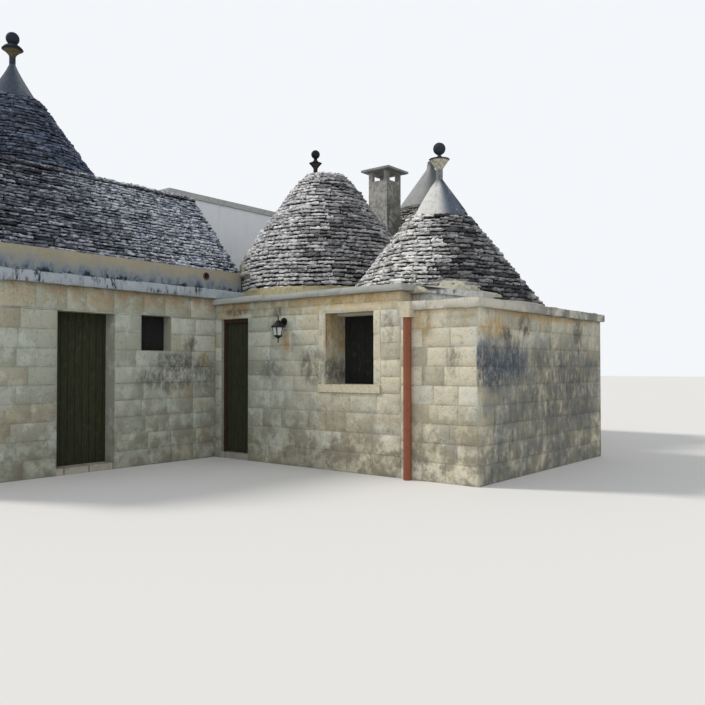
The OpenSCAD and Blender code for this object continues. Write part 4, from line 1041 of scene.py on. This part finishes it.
def dress_corner_cone():
    """The corner cone: slates up to its smooth cap, cut where the parapet and the coping stand."""
    wide = half_width("corner_cone")
    narrow = half_width("corner_cone_cap") + CORNER_PAST_CAP
    z0, z1 = low("corner_cone")[2], high("corner_cone")[2]
    slope = (wide - narrow) / (z1 - z0)
    steps = [z0, z0 + 0.08, z0 + 0.16, z0 + 0.24, z0 + 0.31, z1]
    outer = [(wide - slope * (z - z0), z) for z in steps]
    line = outline_line(outer)
    coping_low, coping_high = low("sloping_coping"), high("sloping_coping")

    def coping_top(x):
        """Height of the sloping coping's top, with a small gap."""
        share = np.clip((x - coping_low[0]) / (coping_high[0] - coping_low[0]), 0.0, 1.0)
        return coping_high[2] - share * COPING_FALL + COPING_GAP

    def clamp(points):
        """Points in the parapet's and the coping's space are moved back behind them."""
        x, y, z = points[..., 0], points[..., 1], points[..., 2]
        start = coping_low[0] - PARAPET_LAP
        behind = coping_high[1] + COPING_GAP
        wall = CORNER[1] + PARAPET_DEEP
        inside = (x > start) & (y < behind) & (z < coping_top(x))
        points[..., 1] = np.where(inside, behind, y)
        inside = (x <= start) & (y < wall) & (z < z0 + PARAPET_TALL)
        points[..., 1] = np.where(inside, wall, points[..., 1])
        return points

    def free(spots):
        """Stones that stand behind the parapet and off the coping."""
        x, y, z = spots.T
        parapet = (x < coping_low[0] + 0.005) & (y < CORNER[1] + 0.30) & (z < z0 + 0.19)
        coping = (x > coping_low[0] - 0.03) & (y < coping_high[1] + 0.01) & (z < coping_top(x) + 0.01)
        return ~parapet & ~coping

    core("corner_core", "corner_cone", CORNER_AXIS, open_space(wide, z0, slope, CORNER_SHELL), outer, clamp)
    dark = growth_and_shade(CORNER_AXIS, ((0.97, 0.05), 0.22, 0.72, 0.64), ((0.90, -0.40), 0.78, 0.94, 0.88))
    rows = roof_rows(3, z0, z1 + TOP_LAP, *COURSES["corner"])
    ring_stones("corner_slates", CORNER_AXIS, rows, line, SLATE_WARM, 13, dark_at=dark, keep=free)
    skirt = [(wide - 0.10, z0 + 0.05), (wide - 0.10, z0), (wide + 0.03, z0), (wide, z0 + 0.03),
             (wide - 0.05, z0 + 0.05)]
    revolve("corner_skirt", CORNER_AXIS, skirt, CREAM, "terrace_render", around=120, wobble=0.006, seed=6,
            ring=True, clamp=clamp)
    for number, (left, right, bottom, top_z, thick) in enumerate((
            (-59.0, -33.0, 0.10, 0.42, 0.018), (-86.0, -56.0, 0.14, 0.32, 0.010),
            (-42.0, -22.0, 0.06, 0.21, 0.020))):
        mound(f"corner_mound_{number}", CORNER_AXIS, line, np.radians((left, right)),
              (z0 + bottom, z0 + top_z), thick, 4 + number)


def dress_rear_cone():
    """The rear cone: slates up to its rough render cap with a blunt tip."""
    wide = half_width("rear_cone")
    z0, z1 = low("rear_cone")[2], high("rear_cone")[2]
    bend = z0 + REAR_BEND[1]
    cap_foot = z0 + REAR_CAP_FOOT
    tip = (REAR_TIP[0], z0 + REAR_TIP[1])
    outer = [(wide, z0), (REAR_BEND[0], bend), tip, (REAR_TOP_RADIUS, z1)]
    line = outline_line(outer)
    inner = [(LEAST_RADIUS, z0 + REAR_SPACE[1]), (REAR_SPACE[0], bend), (wide - REAR_SHELL, z0)]
    core("rear_core", "rear_cone", REAR_AXIS, inner, outer[:2] + [(line(cap_foot), cap_foot), tip])
    dark = growth_and_shade(REAR_AXIS, ((0.97, -0.05), 0.1, 0.8, 0.6), mottle=0.5)
    rows = roof_rows(4, z0, cap_foot, *COURSES["rear"])
    ring_stones("rear_slates", REAR_AXIS, rows, line, SLATE_REAR, 14, dark_at=dark)
    heights = np.append(np.linspace(cap_foot - 0.02, tip[1], 20), [z1, z1 + 0.01])
    outline = [(line(z) + REAR_CAP_OVER, z) for z in heights]
    outline[-1] = (0.03, outline[-1][1])
    piece = revolve("rear_cap", REAR_AXIS, outline, CAP_REAR, "cap_render", around=60, wobble=0.02, seed=3)
    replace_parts(piece, "rear_cone")


def prism(section, y0, y1):
    """A bar along Y whose section is given by X and Z, and its faces."""
    section = np.array(section)
    count = len(section)
    ends = [np.insert(section, 1, y, axis=1) for y in (y0, y1)]
    i = np.arange(count)
    k = (i + 1) % count
    sides = np.stack([i, k, k + count, i + count], -1)
    return np.concatenate(ends), [sides[:, ::-1], i[None], (i + count)[None, ::-1]]


def dress_gable():
    """The gabled wing roof: level slates on both slopes and ends, with flat stones on its ridge."""
    foot, top = low("gable_roof"), high("gable_roof")
    half = half_width("gable_roof")
    rise = top[2] - foot[2]
    length = top[1] - foot[1] - 0.02
    lean = half / rise
    line = outline_line(main_line_points())

    def outside(spots):
        """Stones that don't stand inside the main cone."""
        reach = np.linalg.norm(spots[:, :2] - MAIN_AXIS[None], axis=1)
        return reach > np.array([line(z) for z in spots[:, 2]]) - 0.10

    courses = roof_rows(7, 0.0, rise - 0.02, *COURSES["gable"])
    mottled = growth_and_shade(MAIN_AXIS, ((0.0, -1.0), -0.75, 0.3, 0.62), mottle=0.6)
    inset = CORE_BEHIND * np.hypot(1.0, lean)
    ridge_x = foot[0] + half
    under = [(top[0] - inset - GABLE_SHELL, foot[2]), (top[0] - inset, foot[2]),
             (ridge_x, top[2] - inset / lean), (ridge_x, top[2] - (inset + GABLE_SHELL) / lean)]
    whole = [(foot[0] + inset, foot[2]), (top[0] - inset, foot[2]), (ridge_x, top[2] - inset / lean)]
    cores = [prism(under, foot[1] + 0.03, top[1] - 0.03),
             prism(whole, foot[1] + 0.02, foot[1] + GABLE_FRONT),
             prism(whole, top[1] - GABLE_BACK, top[1] - 0.03)]
    for number, (points, faces) in enumerate(cores):
        piece = mesh_piece(f"gable_core_{number}", points, faces, GAP_SHADE, "roof_stone", smooth=False)
        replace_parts(piece, "gable_roof")
    around = box_sides(foot[0], foot[1], top[0], foot[1] + length)
    slope_rows = [(z, GABLE_FILL * r, 0.0, length, mean) for z, r, mean in courses]
    end_rows = [(z, GABLE_FILL * r, lean * z + 0.02, 2.0 * half - lean * z - 0.02, mean)
                for z, r, mean in courses if 2.0 * (half - lean * z) > 0.18]
    slope = {"rough": 0.0046, "lean": lean, "wave": 0.005}
    for seed, name, side, rows, proud, looks in (
            (21, "gable_slates_east", "east", slope_rows, 0.0, slope),
            (22, "gable_slates_west", "west", slope_rows, 0.0, slope),
            (23, "gable_end_north", "north", end_rows, 0.010, {"wave": 0.003}),
            (24, "gable_end_south", "south", end_rows, 0.010, {"wave": 0.003})):
        along, _ = line_between(*around[side])
        start = np.array([*around[side][0], foot[2]]) + proud * np.cross(along, UP)
        flat_stones(name, start, along, rows, SLATE_WING, "roof_stone", seed, keep=outside, dark_at=mottled,
                    **looks)
    ridge = np.array([ridge_x + 0.09, foot[1], top[2] - 0.05])
    flat_stones("gable_ridge_stones", ridge, NORTH, [(0.0, 0.05, 0.0, length, 0.25)], SLATE_WING,
                "roof_stone", 25, depth=0.18, dark_at=mottled)


dress_main_cone()
dress_bell()
dress_corner_cone()
dress_rear_cone()
dress_gable()

# Solids that keep their shape, by finish
PAINTED = (
    (TUFA_JOINT, "main_wall_south main_wall_over_door main_wall_north main_side_walls main_inner_wall"),
    (TUFA_JOINT, "court_wall_corner court_lintel court_window_wall court_side_wall court_inner_wall"),
    (TUFA_JOINT, "rear_walls"), (TUFA_PALE, "window_surround"), (DRESSED, "window_sill rain_box"),
    (SLAB_BLUE, "main_cornice"), (SLAB_PALE, "lower_roof_slab"), (SLAB_REAR, "rear_roof_slab"),
    (SLAB_GREY, "court_cornice"), (SLAB_SLOPE, "sloping_coping"), (FRIEZE, "main_roof_deck"),
    (TERRACE, "upper_roof_slab"), (FLAGS, "ground_floor"), (CHIMNEY, "chimney_shaft chimney_cap"),
    (WHITE, "white_side_walls white_end_walls white_roof"), (VENT_CLAY, "clay_vent"),
    (PIPE_CLAY, "drainpipe"), (CAP_MAIN, "main_cone_cap"), (CAP_CORNER, "corner_cone_cap"),
    (FINIAL_MAIN, "main_pinnacle"), (FINIAL_BELL, "bell_pinnacle"), (FINIAL_CORNER, "corner_pinnacle"),
    (DOOR_WOOD, "court_door"), (MAIN_WOOD, "main_door"), (FRAME_WOOD, "court_door_frame"),
    (SHUTTER_WOOD, "window_shutters"), (IRON, "door_pins lantern"),
)
for finish, names in PAINTED:
    for name in names.split():
        nodes[name].data.materials.clear()
        nodes[name].data.materials.append(finish)


# Walls and edges

# Width, foot and head of the small window's hole, thickness of the parapet's end, a depth below any
# foot, width of the stone band round the court window, and how many stones each of its sides has
SMALL_WINDOW = (0.587, 1.87, 2.45)
PARAPET_THICK = 0.30
BELOW_FOOT = -1.0
BAND = 0.13
JAMB_STONES = 3

WHITE_Y = low("white_side_walls")[1]
STEP_X = high("court_cornice")[0] - CORNICE_OUT
REAR_X = high("rear_walls")[0]


def dress_walls():
    """Tufa blocks on every outer face, with course lines on the heads and sills."""
    x, y = CORNER[:2]
    west, south = low("main_side_walls")[:2]
    main_top = high("main_wall_north")[2]
    lintel_low, lintel_high = low("main_wall_over_door"), high("main_wall_over_door")
    window_y = low("window_shutters")[1] - south
    wide, sill, head = SMALL_WINDOW
    main_holes = ((lintel_low[1] - south, lintel_high[1] - south, BELOW_FOOT, lintel_low[2]),
                  (window_y, window_y + wide, sill, head))
    frame_low, frame_high = low("court_door_frame"), high("court_door_frame")
    stone_low, stone_high = low("window_surround"), high("window_surround")
    court_holes = ((frame_low[0] - x, frame_high[0] - x, BELOW_FOOT, frame_high[2]),
                   (stone_low[0] - x, stone_high[0] - x, low("window_sill")[2], stone_high[2]))
    east, back, top = high("court_window_wall")[0], high("court_inner_wall")[1], low("lower_roof_slab")[2]
    raised_top, slab_top = low("court_cornice")[2], high("lower_roof_slab")[2]
    rear_west, (_, rear_north, rear_top) = low("rear_walls")[0], high("rear_walls")
    walls = (
        (31, "main_east_blocks", (x, south), (x, y), 0.0, main_top, main_holes),
        (32, "main_south_blocks", (west, south), (x, south), 0.0, main_top, ()),
        (33, "main_west_blocks", (west, WHITE_Y), (west, south), 0.0, main_top, ()),
        (34, "court_blocks_left", (x, y), (STEP_X, y), 0.0, raised_top, court_holes),
        (35, "court_blocks_right", (STEP_X, y), (east, y), 0.0, top, ()),
        (42, "court_parapet_end", (STEP_X, y), (STEP_X, y + PARAPET_THICK), slab_top,
         raised_top - slab_top, ()),
        (36, "court_side_blocks", (east, y), (east, back), 0.0, top, ()),
        (37, "court_back_blocks_right", (east, back), (REAR_X, back), 0.0, top, ()),
        (38, "court_back_blocks_left", (rear_west, back), (high("white_side_walls")[0], back), 0.0, top, ()),
        (39, "rear_east_blocks", (REAR_X, back), (REAR_X, rear_north), 0.0, rear_top, ()),
        (40, "rear_north_blocks", (REAR_X, rear_north), (rear_west, rear_north), 0.0, rear_top, ()),
        (41, "rear_west_blocks", (rear_west, rear_north), (rear_west, back), 0.0, rear_top, ()),
    )
    for seed, *wall in walls:
        block_wall(*wall, seed)


def edge_slabs(name, start, end, foot, top, finish, mean, seed, slot="cornice_slab"):
    """Worn slabs along the edge of a cornice or coping, with thin joints."""
    along, length = line_between(start, end)
    begin = np.array([*start, foot - 0.003]) + 0.005 * np.cross(along, UP)
    flat_stones(name, begin, along, [(0.0, top - foot + 0.006, 0.0, length, mean)], finish, slot, seed, SLAB,
                depth=0.10, rough=0.0020, gap=0.006)


def cornice_slabs(node, finish, seed, *slabs, thick=None, west_from=None, south_from=None, north_to=None):
    """Slabs on the edges of a cornice: a name, a side and a mean length for each. An edge may start or
    end short of the cornice's corner, where something stands against it."""
    (x0, y0, foot), (x1, y1, top) = low(node), high(node)
    top = foot + thick if thick else top
    around = box_sides(x0, y0, x1, y1)
    if west_from is not None:
        around["west"] = ((x0, west_from), (x0, y0))
    if south_from is not None:
        around["south"] = ((south_from, y0), (x1, y0))
    if north_to is not None:
        around["north"] = ((x1, y1), (north_to, y1))
    for number, (name, side, mean) in enumerate(slabs):
        edge_slabs(name, *around[side], foot, top, finish, mean, seed + number)


def dress_edges():
    """Slabs on the cornices of the three roofs, and the pale stones round the court window."""
    cornice_slabs("main_cornice", SLAB_BLUE, 51, ("main_cornice_east", "east", 0.9),
                  ("main_cornice_south", "south", 0.9), ("main_cornice_west", "west", 0.9),
                  thick=MAIN_CORNICE_THICK, west_from=WHITE_Y)
    cornice_slabs("court_cornice", SLAB_GREY, 54, ("court_cornice_front", "south", 1.35),
                  ("court_cornice_end", "east", 0.5))
    mortar_at = place(4.05, PARAPET_THICK + 0.003, high("lower_roof_slab")[2] - 0.01)
    flat_stones("parapet_mortar", mortar_at, EAST, [(0.0, 0.26, 0.0, 0.12, 0.12)], CREAM, "terrace_render",
                65, SLAB, depth=0.02, rough=0.0020, gap=0.0)
    cornice_slabs("lower_roof_slab", SLAB_PALE, 56, ("corner_cornice_front", "south", 0.5),
                  ("corner_cornice_side", "east", 0.62), ("corner_cornice_back", "north", 0.7),
                  south_from=STEP_X, north_to=REAR_X)
    cornice_slabs("rear_roof_slab", SLAB_REAR, 59, ("rear_cornice_east", "east", 0.7),
                  ("rear_cornice_north", "north", 0.7), ("rear_cornice_west", "west", 0.7))
    (x0, y0, _), (x1, _, top) = low("window_surround"), high("window_surround")
    edge_slabs("window_lintel", (x0, y0), (x1, y0), top - BAND, top, TUFA_PALE, 3.0, 62, "dressed_stone")
    sill_top = high("window_sill")[2]
    tall = (top - BAND - sill_top) / JAMB_STONES
    rows = [(i * tall, tall - 0.004, 0.0, BAND, BAND) for i in range(JAMB_STONES)]
    for name, x, seed in (("window_jamb_left", x0, 67), ("window_jamb_right", x1 - BAND, 68)):
        flat_stones(name, np.array([x, y0 - 0.005, sill_top]), EAST, rows, TUFA_PALE, "dressed_stone", seed,
                    SLAB, depth=0.05, rough=0.0020, gap=0.0)


# Lantern panes: how far the body's top lies below the lantern's, its height, its radius at its foot and
# top, how far its axis stands out from the wall, and the reach of a pane's two faces from the body
LANTERN_SIDES = 6
BODY_DOWN = 0.118 + 0.065
BODY_TALL = 0.145
BODY_LOW_RADIUS = 0.072
BODY_HIGH_RADIUS = 0.105
BODY_OUT = 0.15
PANE_FACES = (0.0008, -0.004)


def lantern_panes():
    """Panes of glass on the lantern's body: thin plates between its bars. A pane's corners lie at
    shares of the way from one edge of the body to the next, and of the body's height."""
    foot, top = low("lantern"), high("lantern")
    axis = np.array([(foot[0] + top[0]) / 2.0, CORNER[1] - BODY_OUT])
    turn = 2.0 * np.pi / LANTERN_SIDES
    angle = (np.arange(LANTERN_SIDES) * turn)[:, None, None]
    share = np.array([0.14, 0.86, 0.86, 0.14])[None, None, :, None]
    height = np.array([0.10, 0.10, 0.94, 0.94])
    radius = (BODY_LOW_RADIUS + (BODY_HIGH_RADIUS - BODY_LOW_RADIUS) * height)[None, None, :, None]

    def toward(angle):
        """The level direction at an angle."""
        return np.stack([np.cos(angle), np.sin(angle)], -1)

    out = np.array(PANE_FACES)[None, :, None, None] * toward(angle + turn / 2.0)
    flat = (toward(angle) * (1.0 - share) + toward(angle + turn) * share) * radius + out
    z = np.broadcast_to(top[2] - BODY_DOWN - BODY_TALL * (1.0 - height), flat.shape[:3])
    points = np.concatenate([axis + flat, z[..., None]], -1)
    plate = [np.array([[0, 1, 2, 3], [7, 6, 5, 4], [4, 5, 1, 0], [5, 6, 2, 1], [6, 7, 3, 2], [7, 4, 0, 3]])]
    mesh_piece("lantern_glass", points, repeated(plate, LANTERN_SIDES, 8), GLASS, "iron", smooth=False)


dress_walls()
dress_edges()
lantern_panes()

FLOOR_REACH = 120.0
FLOOR_DROP = 0.002


def stage():
    """A plain pale floor, a pale world and soft lights, with the key light from the left."""
    mesh = bpy.data.meshes.new("floor")
    corners = [(a * FLOOR_REACH, b * FLOOR_REACH, 0.0) for a, b in ((-1, -1), (1, -1), (1, 1), (-1, 1))]
    mesh.from_pydata(corners, [], [(0, 1, 2, 3)])
    floor = put(mesh, "floor")
    made = Finish("floor", 0.9, 0.1)
    made.tone = (0.72, 0.71, 0.69)
    mesh.materials.append(made.done())
    floor.location.z = -FLOOR_DROP
    world = bpy.data.worlds.new("world")
    bpy.context.scene.world = world
    world.use_nodes = True
    tree = world.node_tree
    plain = tree.nodes.new("ShaderNodeBackground")
    choose = tree.nodes.new("ShaderNodeMixShader")
    path = tree.nodes.new("ShaderNodeLightPath")
    tree.links.new(path.outputs["Is Camera Ray"], choose.inputs["Fac"])
    for number, (node, tint, strength) in enumerate((
            (tree.nodes["Background"], (0.93, 0.96, 1.0, 1.0), 0.62), (plain, (0.90, 0.93, 0.96, 1.0), 1.0))):
        node.inputs["Color"].default_value = tint
        node.inputs["Strength"].default_value = strength
        tree.links.new(node.outputs["Background"], choose.inputs[1 + number])
    tree.links.new(choose.outputs["Shader"], tree.nodes["World Output"].inputs["Surface"])
    for name, toward, strength, soft, tint in (
            ("key", (0.88, 0.40, -0.85), 2.3, 10.0, (1.0, 0.96, 0.90)),
            ("fill", (-0.7, 0.8, -0.5), 0.55, 50.0, (0.95, 0.97, 1.0))):
        data = bpy.data.lights.new(name, "SUN")
        data.energy = strength
        data.angle = np.radians(soft)
        data.color = tint
        put(data, name).rotation_euler = Vector(toward).to_track_quat("-Z", "Y").to_euler()
    bpy.context.scene.view_settings.view_transform = "Standard"


place_camera()
stage()
